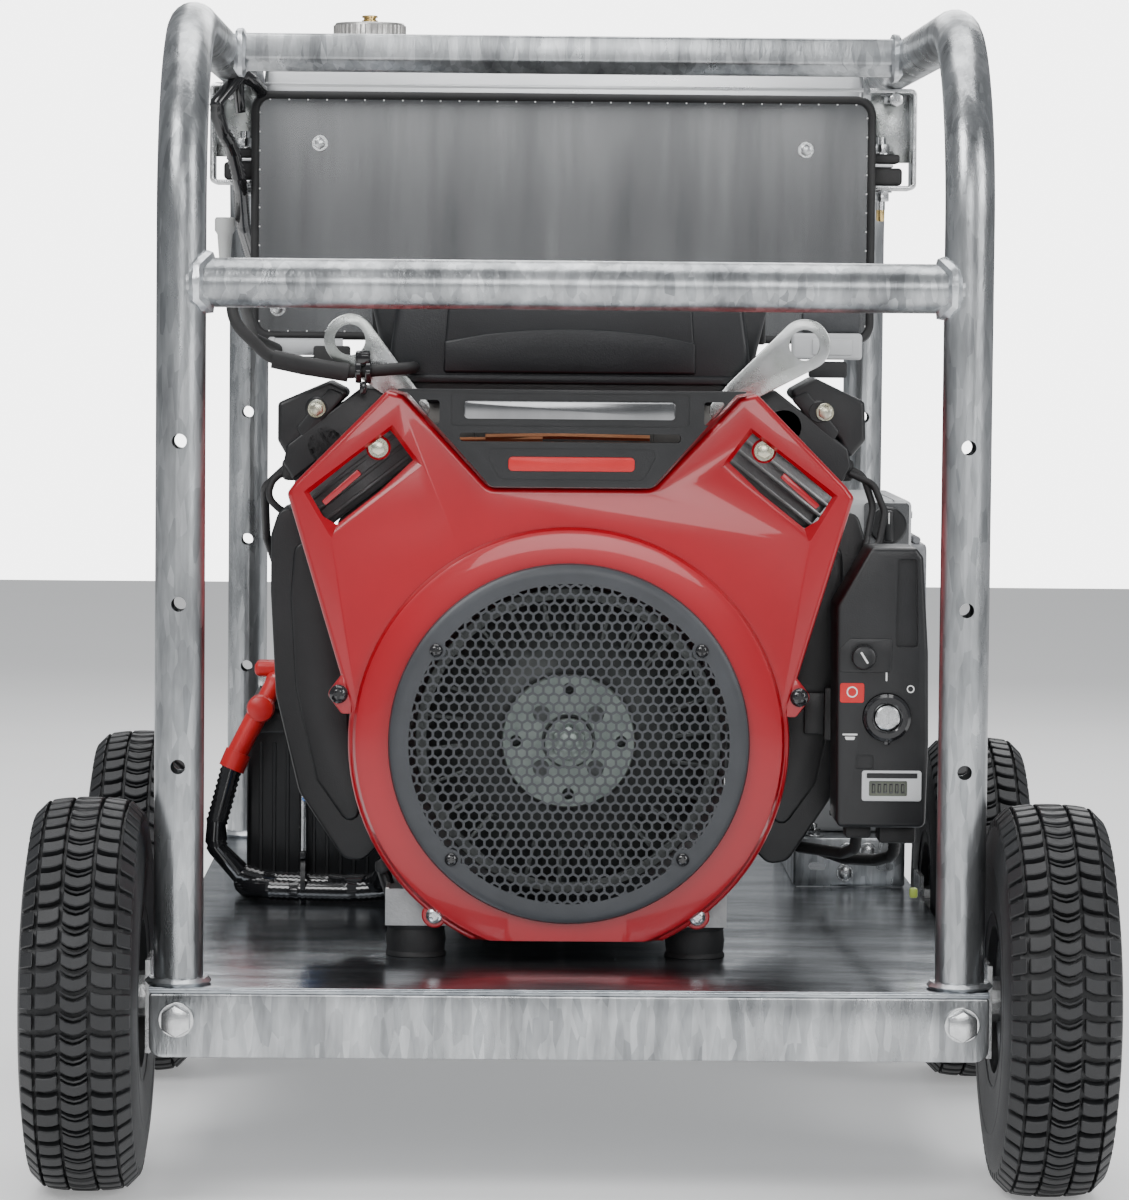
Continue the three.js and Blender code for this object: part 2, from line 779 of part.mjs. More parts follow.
function addFan() {
  const outer = uprightPlate(shroudOutline, fanFaceY, shroudDepth);
  const hollowed = inset(shroudOutline, shroudSheet);
  const inner = uprightPlate(hollowed, fanFaceY + shroudSheet, shroudDepth);
  const opening = bar("y", fanOpening, 20, 0, fanFaceY - 10, crankHeight, 32);
  // Below the ring the skirt is short, so that the engine's front feet stand behind it.
  const skirtY = frontMountY - mountRadius - 2;
  const footRoom = block(-250, skirtY, crankHeight - 200, 500, 120, 110);
  add("fan_shroud", cut(outer, inner, opening, footRoom), redPaint);

  const disc = bar("y", grilleRadius, -grilleThickness, 0, fanFaceY - GAP, crankHeight, 32);
  add("fan_grille", disc, blackPlastic);

  const fanY = fanFaceY + fanSetback;
  const fanBore = shaftRadius + GAP;
  const hub = turnedAlongY(
    [
      [fanBore, 0],
      [fanHubRadius, 0],
      [fanHubRadius, fanHubFlat],
      [fanRadius, fanDiscStart],
      [fanRadius, fanDiscEnd],
      [fanBore, fanDiscEnd],
      [fanBore, 0],
    ],
    0,
    fanY,
    crankHeight,
  );
  const blades = Array.from({ length: bladeCount }, (_, i) => {
    const bladeX = fanRadius - bladeLap - bladeLong;
    const blade = block(bladeX, bladeLap, -bladeThick / 2, bladeLong, bladeDepth, bladeThick);
    blade.rotateY((i * 2 * Math.PI) / bladeCount);
    return blade.translate(0, fanY, crankHeight);
  });
  add("flywheel_fan", join(hub, ...blades), darkSteel);
}

function addSideShrouds() {
  const y = shroudBackY + GAP;
  const thickness = sideShroudDepth;
  for (const [side, sign] of sides) {
    const under = cylinderWidth / 2 + sideShroudGap;
    const [headX, headZ] = cylinderPoint(1, cylinderFar - 6, under);
    const [rootX, rootZ] = cylinderPoint(1, blockReach + 8, under);
    const outline = [
      [rootX + 6, rootZ - 8],
      [rootX + 6, crankHeight + sideShroudFoot],
      ...sideShroudEdge.map(([x, up]) => [x, crankHeight + up]),
      [headX + 4, headZ - 2],
    ];
    const inner = inset(outline, shroudSheet);
    const shell = cut(
      uprightPlate(outline, y, thickness),
      uprightPlate(inner, y + shroudSheet, thickness),
    );
    const placed = sign > 0 ? shell : mirrored(shell);
    add(`${side}_side_shroud`, placed, blackPlastic);
  }
}

function addTopCovers() {
  const edge = GAP * 2;
  const panel = [
    [notchX - 1, crankHeight + notchZ + edge],
    [tipX - 12, crankHeight + tipZ - 1],
    [tipX + 1, crankHeight + tipZ + edge + 1],
    [-tipX - 1, crankHeight + tipZ + edge + 1],
    [-tipX + 12, crankHeight + tipZ - 1],
    [-notchX + 1, crankHeight + notchZ + edge],
  ];
  const slotZ = crankHeight + panelSlotUp;
  const slot = block(-panelSlotWidth / 2, fanFaceY - 5, slotZ, panelSlotWidth, 30, panelSlotTall);
  const sheet = uprightPlate(panel, fanFaceY - panelLead, panelSheet);
  add("name_panel", cut(sheet, slot), blackPlastic);

  const half = cleanerWidth / 2;
  const top = cleanerBottom + cleanerTall;
  const cover = [
    [-half, cleanerBottom],
    [half, cleanerBottom],
    [half - cleanerWaist, cleanerBottom + cleanerWaistUp],
    [half + cleanerWing, cleanerBottom + cleanerWingUp],
    [half + 2, top - 6],
    [half - cleanerShoulder, top],
    [-half + cleanerShoulder, top],
    [-half - 2, top - 6],
    [-half - cleanerWing, cleanerBottom + cleanerWingUp],
    [-half + cleanerWaist, cleanerBottom + cleanerWaistUp],
  ];
  add("air_cleaner_cover", uprightPlate(cover, cleanerFrontY, cleanerDepth), blackPlastic);
}

function addLiftingEyes() {
  for (const [side, sign] of sides) {
    const [ringX, ringZ] = eyePlaces[side];
    const frontY = blockFrontY - eyeSheet;
    const footReach = cylinderFar - eyeFootDrop;
    const [footX, footZ] = cylinderPoint(sign, footReach, eyeFootIn - cylinderWidth / 2);
    const along = new THREE.Vector2(footX - ringX, footZ - ringZ);
    const length = along.length();
    const arm = block(0, 0, -eyeArm / 2, length, eyeSheet, eyeArm);
    arm.rotateY(-Math.atan2(along.y, along.x)).translate(ringX, frontY, ringZ);
    const ring = bar("y", eyeRing, eyeSheet, ringX, frontY, ringZ);
    const boss = bar("y", eyeBoss, cylinderFrontY(sign) - GAP - frontY, footX, frontY, footZ, 16);
    const hole = bar("y", eyeHole, 40, ringX, frontY - 10, ringZ);
    add(`${side}_lifting_eye`, cut(join(ring, arm, boss), hole), brightSteel);
  }
}

function addExhaustAndFilter() {
  const mufflerZ = crankHeight + alternatorRadius + mufflerRadius + mufflerClear;
  const half = mufflerLength / 2;
  const shell = bar("x", mufflerRadius, mufflerLength, -half, mufflerY, mufflerZ);
  const pipes = sides.map(([, sign]) => {
    const start = cylinderFrontY(sign) + cylinderDepth + GAP;
    return bar("y", exhaustRadius, mufflerY - start, sign * exhaustX, start, mufflerZ - exhaustDrop, 16);
  });
  const tail = bar("x", tailRadius, tailLength, half - tailLap, mufflerY, mufflerZ, 16);
  const roomRadius = mufflerRadius - mufflerSheet;
  const room = bar("x", roomRadius, mufflerLength - 2 * mufflerSheet, mufflerSheet - half, mufflerY, mufflerZ);
  const outlet = bar("x", tailRadius - mufflerSheet, 60, half - 20, mufflerY, mufflerZ, 16);
  add("muffler", cut(join(shell, ...pipes, tail), room, outlet), darkSteel);

  const filterY = shroudBackY + sideShroudDepth + 2 * GAP + filterRadius + filterLead;
  const filterZ = crankHeight - filterDrop;
  const filter = bar("x", filterRadius, -filterLength, filterX - GAP, filterY, filterZ);
  add("oil_filter", filter, bluePaint);
}

function addRotor() {
  const noseY = fanFaceY + shaftLead;
  const caseY = blockBackY + GAP;
  const endY = alternatorBackY + bellLength - shaftShort;
  const profile = [
    [0, noseY],
    [shaftRadius - shaftNose, noseY],
    [shaftRadius, noseY + rotorTaper],
    [shaftRadius, caseY + rotorStart],
    [rotorRadius, caseY + rotorStart + rotorTaper],
    [rotorRadius, alternatorBackY - rotorEnd],
    [shaftRadius, alternatorBackY - rotorEnd + rotorTaper],
    [shaftRadius, endY],
    [0, endY],
  ];
  add("rotor_shaft", turnedAlongY(profile, 0, 0, crankHeight), brightSteel);
}

// ---------------------------------------------------------------- controls
// The control box stands beside the shroud, clear of its straight side at the box's top.
const waist = THREE.MathUtils.degToRad(shroudWaist);
const waistX = shroudRing * Math.cos(waist);
const waistZ = shroudRing * Math.sin(waist);
const controlTop = controlBottom + controlTall - crankHeight;
const controlShare = (controlTop - waistZ) / (shoulderZ - shroudCorner - waistZ);
const controlLeft = waistX + (shoulderX - waistX) * controlShare + controlGap;
const chokeX = controlLeft + chokeAcross;
const chokeZ = controlBottom + chokeUp;
const keyX = controlLeft + keyAcross;
const keyZ = controlBottom + keyUp;

function addControls() {
  const outline = roundedRectangle(controlLeft, controlBottom, controlWidth, controlTall, controlCorner);
  const body = uprightPlate(outline, controlFrontY, controlDepth);
  const holes = [
    bar("y", chokeRod + controlClearance, controlDepth + 20, chokeX, controlFrontY - 10, chokeZ, 16),
    bar("y", keyRadius + controlClearance, 30, keyX, controlFrontY - 10, keyZ),
  ];
  add("control_box", cut(body, ...holes), blackPlastic);

  const rodLength = chokeTravel + 22;
  const rod = bar("y", chokeRod, rodLength, chokeX, controlFrontY - 6, chokeZ, 16);
  const knob = bar("y", chokeRadius, -knobLength, chokeX, controlFrontY - knobStand, chokeZ);
  add("choke_knob", join(rod, knob), blackPlastic);

  const barrel = bar("y", keyRadius, keyLength, keyX, controlFrontY - keyStand, keyZ);
  const [slotWide, slotTall] = keySlot;
  const slotX = keyX - slotWide / 2;
  const slot = block(slotX, controlFrontY - keyStand - 1, keyZ - slotTall / 2, slotWide, 9, slotTall);
  add("key_switch", cut(barrel, slot), brightSteel);
}

// ---------------------------------------------------------------- rubber mounts and alternator
function addMounts() {
  for (const [name, x] of [
    ["front_left_mount", leftMountX],
    ["front_right_mount", rightMountX],
  ]) {
    add(name, bar("z", mountRadius, mountTall, x, frontMountY, deckTop + GAP), blackRubber);
  }
  const pad = [alternatorFootWidth, alternatorFootDepth - 10];
  const padY = alternatorFootY - pad[1] / 2;
  add("alternator_pad", block(-pad[0] / 2, padY, deckTop + GAP, ...pad, mountTall), blackRubber);
}

function addAlternator() {
  const y = blockBackY + GAP;
  const barrel = bar("y", alternatorRadius, alternatorLength, 0, y, crankHeight, 32);
  const footLow = mountTop + GAP;
  const footY = alternatorFootY - alternatorFootDepth / 2;
  const footX = -alternatorFootWidth / 2;
  const flange = block(footX, footY, footLow, alternatorFootWidth, alternatorFootDepth, flangeTall);
  const webTall = crankHeight - footWebDrop - footLow;
  const web = block(-footWebHalf, footY, footLow, 2 * footWebHalf, alternatorFootDepth, webTall);
  const coreRadius = alternatorRadius - alternatorWall;
  const core = bar("y", coreRadius, alternatorLength + 20, 0, y - 10, crankHeight, 32);
  add("alternator_case", cut(join(barrel, flange, web), core), greyCasting);

  const bellY = alternatorBackY + GAP;
  const bell = turnedAlongY(
    [
      [shaftRadius + 1, bellWall],
      [coreRadius - 6, bellWall],
      [coreRadius - 6, 0],
      [alternatorRadius - bellWall, 0],
      [alternatorRadius - bellWall, bellLength - bellFlat],
      [alternatorRadius - bellChamfer, bellLength],
      [shaftRadius + 1, bellLength],
      [shaftRadius + 1, bellWall],
    ],
    0,
    bellY,
    crankHeight,
    24,
  );
  add("alternator_end_bell", bell, greyCasting);
}

// ---------------------------------------------------------------- electrics
// The starter cable's conduit, from the battery's front terminal to the engine block.
const conduitRoute = [
  [-224, 538.7, 310.8],
  [-224, 506, 310.8],
  [-240, 496, 290],
  [-254, 492, 250],
  [-268, 484, 196],
  [-262, 480, 168],
  [-225, 476, 158],
  [-170, 470, 157],
  [-138, 446, 160],
  [-134, 410, 172],
  [-127, 400, 203],
  [-113, 400, 203],
];

function addElectrics() {
  const base = deckTop + GAP;
  const body = block(batteryLeft, batteryFrontY, base, batteryWidth, batteryDepth, batteryTall - lidTall);
  const lid = block(
    batteryLeft + lidInset,
    batteryFrontY + lidInset,
    base,
    batteryWidth - 2 * lidInset,
    batteryDepth - 2 * lidInset,
    batteryTall,
  );
  const [bossX, bossY] = [batteryLeft + terminalIn[0], batteryFrontY + terminalIn[1]];
  const boss = block(bossX, bossY, base, terminalSide, terminalSide, batteryTall + terminalTall);
  add("battery", join(body, lid, boss), blackPlastic);

  const conduit = tube(conduitRoute, 9, conduitDiameter / 2, { sides: 8, bendSteps: 2 });
  add("battery_conduit", conduit, blackPlastic);

  const footX = panelLeft - footInset;
  const footWidth = panelWidth - 2 * footInset;
  const footDepth = panelFrontY + panelDepth - footFrontY;
  const outer = block(footX, footFrontY, base, footWidth, footDepth, footTall);
  const inside = block(
    footX + footSheet,
    footFrontY + footSheet,
    base - 1,
    footWidth - 2 * footSheet,
    footDepth,
    footTall + 1 - footSheet,
  );
  add("panel_bracket", cut(outer, inside), galvanised);

  const panel = block(panelLeft, panelFrontY, panelBottom, panelWidth, panelDepth, panelTall);
  const socket = bar("x", socketRadius, socketDepth + 5, panelSideX - socketDepth, socketY, socketZ);
  const spindle = bar("y", breakerPin + controlClearance, 16, breakerX, panelFrontY - 1, breakerZ, 16);
  add("socket_box", cut(panel, socket, spindle), greyPlastic);

  // The cover hangs from a hinge line above the socket, open towards the box.
  const coverX = panelSideX + GAP;
  const coverY = socketY - coverSide / 2;
  const coverZ = socketZ - coverSide / 2;
  const coverOutline = roundedRectangle(coverY, coverZ, coverSide, coverSide, coverCorner);
  const cover = cut(
    sidePlate(coverOutline, coverX, coverDeep),
    sidePlate(inset(coverOutline, coverSheet), coverX - 5, coverDeep + 5 - coverSheet),
  );
  add("socket_cover", cover, greyPlastic);

  const discY = panelFrontY - breakerGap;
  const disc = bar("y", breakerRadius, -breakerDepth, breakerX, discY, breakerZ);
  const gripY = discY - breakerDepth - gripStand;
  const gripX = breakerX - gripThick / 2;
  const gripZ = breakerZ - gripTall / 2;
  const grip = block(gripX, gripY, gripZ, gripThick, gripStand + 2, gripTall);
  const pin = bar("y", breakerPin, breakerPinLong, breakerX, discY - 1, breakerZ, 16);
  add("breaker_switch", join(disc, grip, pin), blackPlastic);
}

// ---------------------------------------------------------------- fuel
function addFuel() {
  const outline = roundedRectangle(-tankWidth / 2, tankBottom, tankWidth, tankTall, tankCorner);
  const inner = inset(outline, tankSheet);
  const shell = uprightPlate(outline, tankFrontY, tankDepth);
  const room = uprightPlate(inner, tankFrontY + tankSheet, tankDepth - 2 * tankSheet);
  const mouth = bar("z", neckBore, 4 * tankSheet, neckX, neckY, tankTop - 2 * tankSheet);
  const earX = legX - earGap;
  const earZ = topTubeZ - tubeRadius - bracketTall + bracketSheet + earUp;
  const ear = block(-earX, tankFrontY + earBack, earZ, 2 * earX, earDepth, earSheet);
  add("fuel_tank", cut(join(shell, ear), room, mouth), stainless);

  const neck = turnedAlongY(
    [
      [neckBore, 0],
      [neckBore, neckTall - GAP],
      [neckRadius, neckTall - GAP],
      [neckRadius, neckFlangeTall],
      [neckFlange, neckFlangeTall],
      [neckFlange, 0],
      [neckBore, 0],
    ].reverse(),
    0,
    0,
    0,
  );
  add("filler_neck", neck.rotateX(Math.PI / 2), stainless).position.set(neckX, neckY, tankTop + GAP);

  const seal = turnedAlongY(
    [
      [neckBore, 0],
      [neckRadius + gasketLip, 0],
      [neckRadius + gasketLip, gasketTall],
      [neckBore, gasketTall],
      [neckBore, 0],
    ],
    0,
    0,
    0,
  );
  add("cap_gasket", seal.rotateX(Math.PI / 2), blackRubber).position.set(neckX, neckY, neckTop + GAP);

  const capRoof = neckTop + GAP + gasketTall + GAP;
  const capInner = neckRadius + gasketLip + 2 * GAP;
  const cap = turnedAlongY(
    [
      [0, 0],
      [capInner, 0],
      [capInner, -capSkirt],
      [capRadius, -capSkirt],
      [capRadius, capSheet - capEdge],
      [capRadius - capEdge, capSheet],
      [ventRadius, capSheet],
      [ventRadius, capSheet + ventTall],
      [0, capSheet + ventTall],
    ],
    0,
    0,
    0,
  );
  add("fuel_cap", cap.rotateX(Math.PI / 2), castAluminium).position.set(neckX, neckY, capRoof);

  const shieldY = tankFrontY - shieldGap - shieldSheet;
  const shield = roundedRectangle(-shieldWidth / 2, shieldBottom, shieldWidth, shieldTall, shieldCorner);
  add("heat_shield", uprightPlate(shield, shieldY, shieldSheet), stainless);

  // C brackets hang under the top tubes and carry the tank's ears on rubber blocks.
  const high = topTubeZ - tubeRadius - GAP;
  const low = high - bracketTall;
  const far = legX + bracketOut;
  const near = far - bracketWidth;
  const t = bracketSheet;
  for (const [side, sign] of sides) {
    const section = [
      [near, low],
      [far, low],
      [far, high],
      [near, high],
      [near, high - t],
      [far - t, high - t],
      [far - t, low + t],
      [near, low + t],
    ];
    const bracket = uprightPlate(section, tankFrontY, bracketDepth);
    add(`${side}_tank_bracket`, sign > 0 ? bracket : mirrored(bracket), brightSteel);
  }
}

// The fuel hose runs from under the tank, below the shield, to the front of the air cleaner.
const hoseRoute = [
  [-210, 650, 599.7],
  [-210, 650, 572],
  [-220, 606, 566],
  [-242, 520, 578],
  [-243, 300, 628],
  [-243, 215, 634],
  [-241, 198, 592],
  [-214, 196, 566],
  [-160, 195, 556],
  [-112, 195, 560],
  [-112, 215.7, 560],
];

function addHose() {
  add("fuel_hose", tube(hoseRoute, 4, hoseDiameter / 2, { sides: 8, bendSteps: 2 }), blackRubber);
}

addDeck();
addHoops();
addCrossRails();
addWheels();
addEngineBlock();
addCylinders();
addFan();
addSideShrouds();
addTopCovers();
addLiftingEyes();
addExhaustAndFilter();
addRotor();
addControls();
addMounts();
addAlternator();
addElectrics();
addFuel();
addHose();

const part = new THREE.Group();
part.add(generator);
export default part;
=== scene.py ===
"""Portable generator: the looks of its frame, wheels, engine, alternator, tank and electrics."""

import json
import math

import bpy
from mathutils import Matrix, Vector


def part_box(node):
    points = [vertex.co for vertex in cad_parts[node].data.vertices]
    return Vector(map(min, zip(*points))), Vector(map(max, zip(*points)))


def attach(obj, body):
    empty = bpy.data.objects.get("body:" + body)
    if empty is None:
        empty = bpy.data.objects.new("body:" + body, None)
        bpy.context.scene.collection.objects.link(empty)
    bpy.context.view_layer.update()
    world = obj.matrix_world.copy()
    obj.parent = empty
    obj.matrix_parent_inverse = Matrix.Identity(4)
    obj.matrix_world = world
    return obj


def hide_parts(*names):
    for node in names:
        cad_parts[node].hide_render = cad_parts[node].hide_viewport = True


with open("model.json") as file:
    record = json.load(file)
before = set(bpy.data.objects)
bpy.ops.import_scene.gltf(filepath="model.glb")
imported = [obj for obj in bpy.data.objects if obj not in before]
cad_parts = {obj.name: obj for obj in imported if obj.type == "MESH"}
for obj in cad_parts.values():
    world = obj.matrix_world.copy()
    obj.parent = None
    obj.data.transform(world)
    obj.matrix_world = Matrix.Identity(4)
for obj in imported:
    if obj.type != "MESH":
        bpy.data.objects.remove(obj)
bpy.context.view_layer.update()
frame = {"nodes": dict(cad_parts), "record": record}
bpy.ops.object.select_all(action="DESELECT")

# Sizes below are in millimetres; y counts back from the front legs, z up from the floor.
LEG_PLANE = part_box("front_beam")[0].y * 1000 + 21
LEG_X = 265
TUBE = 16.85
CRANK_Z = 300
CRANK = (0, 0, CRANK_Z)
LEAN = math.radians(38)
CAMERA_SPOT = (-57.45, -3300, 602.92)
# The right bank of cylinders stands this much further back than the left one.
BANK_STEP = 25


def place(x, y, z):
    return Vector((x / 1000, (y + LEG_PLANE) / 1000, z / 1000))


# ---------------------------------------------------------------- camera and light
def aim(camera, yaw, pitch, roll):
    cy, sy, cp, sp = math.cos(yaw), math.sin(yaw), math.cos(pitch), math.sin(pitch)
    ahead = Vector((sy * cp, cy * cp, -sp))
    side = Vector((cy, -sy, 0))
    up = side.cross(ahead)
    right = math.cos(roll) * side + math.sin(roll) * up
    top = -math.sin(roll) * side + math.cos(roll) * up
    turn = Matrix((right, top, -ahead)).transposed()
    camera.matrix_world = Matrix.Translation(place(*CAMERA_SPOT)) @ turn.to_4x4()


camera_data = bpy.data.cameras.new("camera")
camera_data.lens = 146.9
camera_data.sensor_width = 36
camera_data.clip_end = 60
camera = bpy.data.objects.new("camera", camera_data)
bpy.context.scene.collection.objects.link(camera)
aim(camera, yaw=0.0157, pitch=0.0594, roll=0.0091)
bpy.context.scene.camera = camera


def soft_light(name, spot, target, size, power, tint=(1, 1, 1)):
    data = bpy.data.lights.new(name, "AREA")
    data.shape = "RECTANGLE"
    data.size, data.size_y = size
    data.energy = power
    data.color = tint
    lamp = bpy.data.objects.new(name, data)
    bpy.context.scene.collection.objects.link(lamp)
    lamp.location = spot
    lamp.rotation_euler = (Vector(target) - Vector(spot)).to_track_quat("-Z", "Y").to_euler()
    return lamp


soft_light("key", (-1.6, -2.6, 2.6), (0, -0.2, 0.4), (1.6, 1.6), 70)
soft_light("fill", (2.4, -2.2, 1.6), (0, -0.2, 0.4), (1.4, 1.8), 42)
soft_light("overhead", (0, 0.2, 3.2), (0, 0, 0), (2.6, 2.6), 75)
soft_light("front", (0.2, -3.9, 1.5), (0, 0, 0.4), (1.6, 0.9), 26)
soft_light("back", (0.4, 3.0, 2.2), (0, 0, 0.4), (2.2, 1.4), 45)
world = bpy.data.worlds.new("studio")
bpy.context.scene.world = world
world.use_nodes = True
sky = world.node_tree.nodes["Background"]
sky.inputs["Color"].default_value = (0.93, 0.96, 1, 1)
sky.inputs["Strength"].default_value = 0.3
backdrop = world.node_tree.nodes.new("ShaderNodeBackground")
backdrop.inputs["Color"].default_value = (1, 1, 1, 1)
backdrop.inputs["Strength"].default_value = 5.0
seen = world.node_tree.nodes.new("ShaderNodeLightPath")
choice = world.node_tree.nodes.new("ShaderNodeMixShader")
world.node_tree.links.new(seen.outputs["Is Camera Ray"], choice.inputs["Fac"])
world.node_tree.links.new(sky.outputs[0], choice.inputs[1])
world.node_tree.links.new(backdrop.outputs[0], choice.inputs[2])
world.node_tree.links.new(choice.outputs[0], world.node_tree.nodes["World Output"].inputs["Surface"])


# ---------------------------------------------------------------- finishes
SLOTS = {}


def finish(name, slot, base, rough=0.5, metal=0.0, tone=None, grain=60, spread=0.5, bump=0.15,
           bump_scale=400, stretch=(1, 1, 1), rough_spread=0.1, coat=0.0, coat_rough=0.05,
           clear=0.0, spangle=0.0, dust=None, dust_amount=0.3, ior=None, dents=0.0):
    """A finish with colour that drifts, worn patches, and a fine surface of its own."""
    mat = bpy.data.materials.new(name)
    mat.use_nodes = True
    SLOTS[mat.name] = slot
    nodes, links = mat.node_tree.nodes, mat.node_tree.links
    shader = nodes["Principled BSDF"]
    shader.inputs["Metallic"].default_value = metal
    shader.inputs["Coat Weight"].default_value = coat
    shader.inputs["Coat Roughness"].default_value = coat_rough
    shader.inputs["Transmission Weight"].default_value = clear
    if ior:
        shader.inputs["IOR"].default_value = ior
    spot = nodes.new("ShaderNodeTexCoord")
    scale = nodes.new("ShaderNodeMapping")
    scale.inputs["Scale"].default_value = stretch
    links.new(spot.outputs["Object"], scale.inputs["Vector"])

    def noise(size, detail=4, rough_part=0.6):
        n = nodes.new("ShaderNodeTexNoise")
        n.inputs["Scale"].default_value = size
        n.inputs["Detail"].default_value = detail
        n.inputs["Roughness"].default_value = rough_part
        links.new(scale.outputs[0], n.inputs["Vector"])
        return n

    drift = noise(grain)
    ramp = nodes.new("ShaderNodeValToRGB")
    ramp.color_ramp.elements[0].position = 0.5 - spread / 2
    ramp.color_ramp.elements[1].position = 0.5 + spread / 2
    ramp.color_ramp.elements[0].color = (*base, 1)
    ramp.color_ramp.elements[1].color = (*(tone or [c * 1.35 for c in base]), 1)
    links.new(drift.outputs["Fac"], ramp.inputs["Fac"])
    colour = ramp.outputs["Color"]
    if spangle:
        cells = nodes.new("ShaderNodeTexVoronoi")
        cells.inputs["Scale"].default_value = 130
        links.new(scale.outputs[0], cells.inputs["Vector"])
        mix = nodes.new("ShaderNodeMix")
        mix.data_type = "RGBA"
        mix.blend_type = "SOFT_LIGHT"
        mix.inputs["Factor"].default_value = spangle
        grey = nodes.new("ShaderNodeRGBToBW")
        links.new(cells.outputs["Color"], grey.inputs[0])
        links.new(colour, mix.inputs["A"])
        links.new(grey.outputs[0], mix.inputs["B"])
        colour = mix.outputs["Result"]
    if dust:
        patches = noise(9, 6, 0.65)
        level = nodes.new("ShaderNodeMapRange")
        level.inputs["From Min"].default_value = 0.5
        level.inputs["From Max"].default_value = 0.75
        level.inputs["To Max"].default_value = dust_amount
        links.new(patches.outputs["Fac"], level.inputs["Value"])
        mix = nodes.new("ShaderNodeMix")
        mix.data_type = "RGBA"
        links.new(level.outputs[0], mix.inputs["Factor"])
        links.new(colour, mix.inputs["A"])
        mix.inputs["B"].default_value = (*dust, 1)
        colour = mix.outputs["Result"]
    links.new(colour, shader.inputs["Base Color"])
    shine = nodes.new("ShaderNodeMapRange")
    shine.inputs["To Min"].default_value = max(0.02, rough - rough_spread)
    shine.inputs["To Max"].default_value = min(1, rough + rough_spread)
    wear = noise(grain * 0.45, 6, 0.7)
    links.new(wear.outputs["Fac"], shine.inputs["Value"])
    links.new(shine.outputs[0], shader.inputs["Roughness"])
    fine = noise(bump_scale, 3, 0.6)
    lift = nodes.new("ShaderNodeBump")
    lift.inputs["Strength"].default_value = bump
    lift.inputs["Distance"].default_value = 0.0006
    links.new(fine.outputs["Fac"], lift.inputs["Height"])
    normal = lift.outputs["Normal"]
    if dents:
        broad = noise(grain * 0.8, 2, 0.5)
        soft = nodes.new("ShaderNodeBump")
        soft.inputs["Strength"].default_value = dents
        soft.inputs["Distance"].default_value = 0.003
        links.new(broad.outputs["Fac"], soft.inputs["Height"])
        links.new(lift.outputs["Normal"], soft.inputs["Normal"])
        normal = soft.outputs["Normal"]
    links.new(normal, shader.inputs["Normal"])
    return mat


galvanised = finish("galvanised", "galvanised_steel", (0.2, 0.208, 0.215), 0.3, 0.95, (0.58, 0.6, 0.615), 24,
                    0.4, 0.3, 260, (1.6, 1.6, 0.35), 0.14, spangle=0.5, dust=(0.75, 0.76, 0.77),
                    dust_amount=0.3, dents=0.34)
deck_zinc = finish("deck_zinc", "galvanised_steel", (0.15, 0.165, 0.185), 0.2, 0.97, (0.5, 0.53, 0.56), 14,
                   0.4, 0.18, 240, (0.5, 2.2, 1), 0.12, spangle=0.4, dust=(0.6, 0.62, 0.65), dust_amount=0.3,
                   dents=0.22)
weld_zinc = finish("weld_zinc", "galvanised_steel", (0.5, 0.52, 0.54), 0.32, 0.9, (0.8, 0.82, 0.84), 90, 0.4,
                   0.5, 220, dents=0.5)
zinc_bolt = finish("zinc_bolt", "bright_steel", (0.55, 0.56, 0.56), 0.25, 1.0, (0.82, 0.83, 0.84), 160, 0.5,
                   0.12, 500)
yellow_zinc = finish("yellow_zinc", "bright_steel", (0.5, 0.43, 0.26), 0.26, 1.0, (0.66, 0.68, 0.6), 90, 0.5,
                     0.12, 500)
eye_zinc = finish("eye_zinc", "bright_steel", (0.42, 0.45, 0.41), 0.27, 1.0, (0.72, 0.73, 0.74), 38, 0.5,
                  0.15, 420)
brass = finish("brass", "bright_steel", (0.62, 0.43, 0.15), 0.28, 1.0, (0.8, 0.6, 0.28), 110, 0.5, 0.1, 500)
stainless = finish("stainless", "stainless_sheet", (0.2, 0.203, 0.207), 0.17, 0.97, (0.32, 0.323, 0.327), 10,
                   0.5, 0.012, 90, (3, 1, 0.25), 0.06, dents=0.02)
tank_steel = finish("tank_steel", "stainless_sheet", (0.62, 0.63, 0.64), 0.3, 0.9, (0.75, 0.76, 0.77), 16,
                    0.5, 0.08, 200, (0.4, 1, 3), 0.08)
red = finish("red_enamel", "red_enamel", (0.33, 0.0, 0.006), 0.3, 0.0, (0.4, 0.0, 0.01), 12, 0.6, 0.045, 190,
             rough_spread=0.05, coat=0.45, coat_rough=0.03, dust=(0.6, 0.01, 0.03), dust_amount=0.05)
satin_black = finish("satin_black", "black_plastic", (0.007, 0.0073, 0.008), 0.36, 0.0,
                     (0.013, 0.0135, 0.015), 30, 0.6, 0.2, 900, rough_spread=0.08,
                     dust=(0.035, 0.035, 0.038), dust_amount=0.2)
cover_black = finish("cover_black", "black_plastic", (0.009, 0.0098, 0.0112), 0.34, 0.0,
                     (0.015, 0.0162, 0.0185), 26, 0.6, 0.28, 1000, rough_spread=0.07,
                     dust=(0.045, 0.048, 0.052), dust_amount=0.2)
mesh_grey = finish("mesh_grey", "black_plastic", (0.032, 0.035, 0.04), 0.38, 0.0, (0.05, 0.054, 0.061), 30,
                   0.6, 0.15, 900)
gloss_black = finish("gloss_black", "black_plastic", (0.008, 0.008, 0.009), 0.12, 0.0, (0.016, 0.016, 0.018),
                     60, 0.5, 0.05, 600, coat=0.6)
light_plastic = finish("light_plastic", "grey_plastic", (0.5, 0.51, 0.52), 0.42, 0.0, (0.6, 0.61, 0.62), 20,
                       0.5, 0.15, 800, dust=(0.4, 0.39, 0.37), dust_amount=0.15)
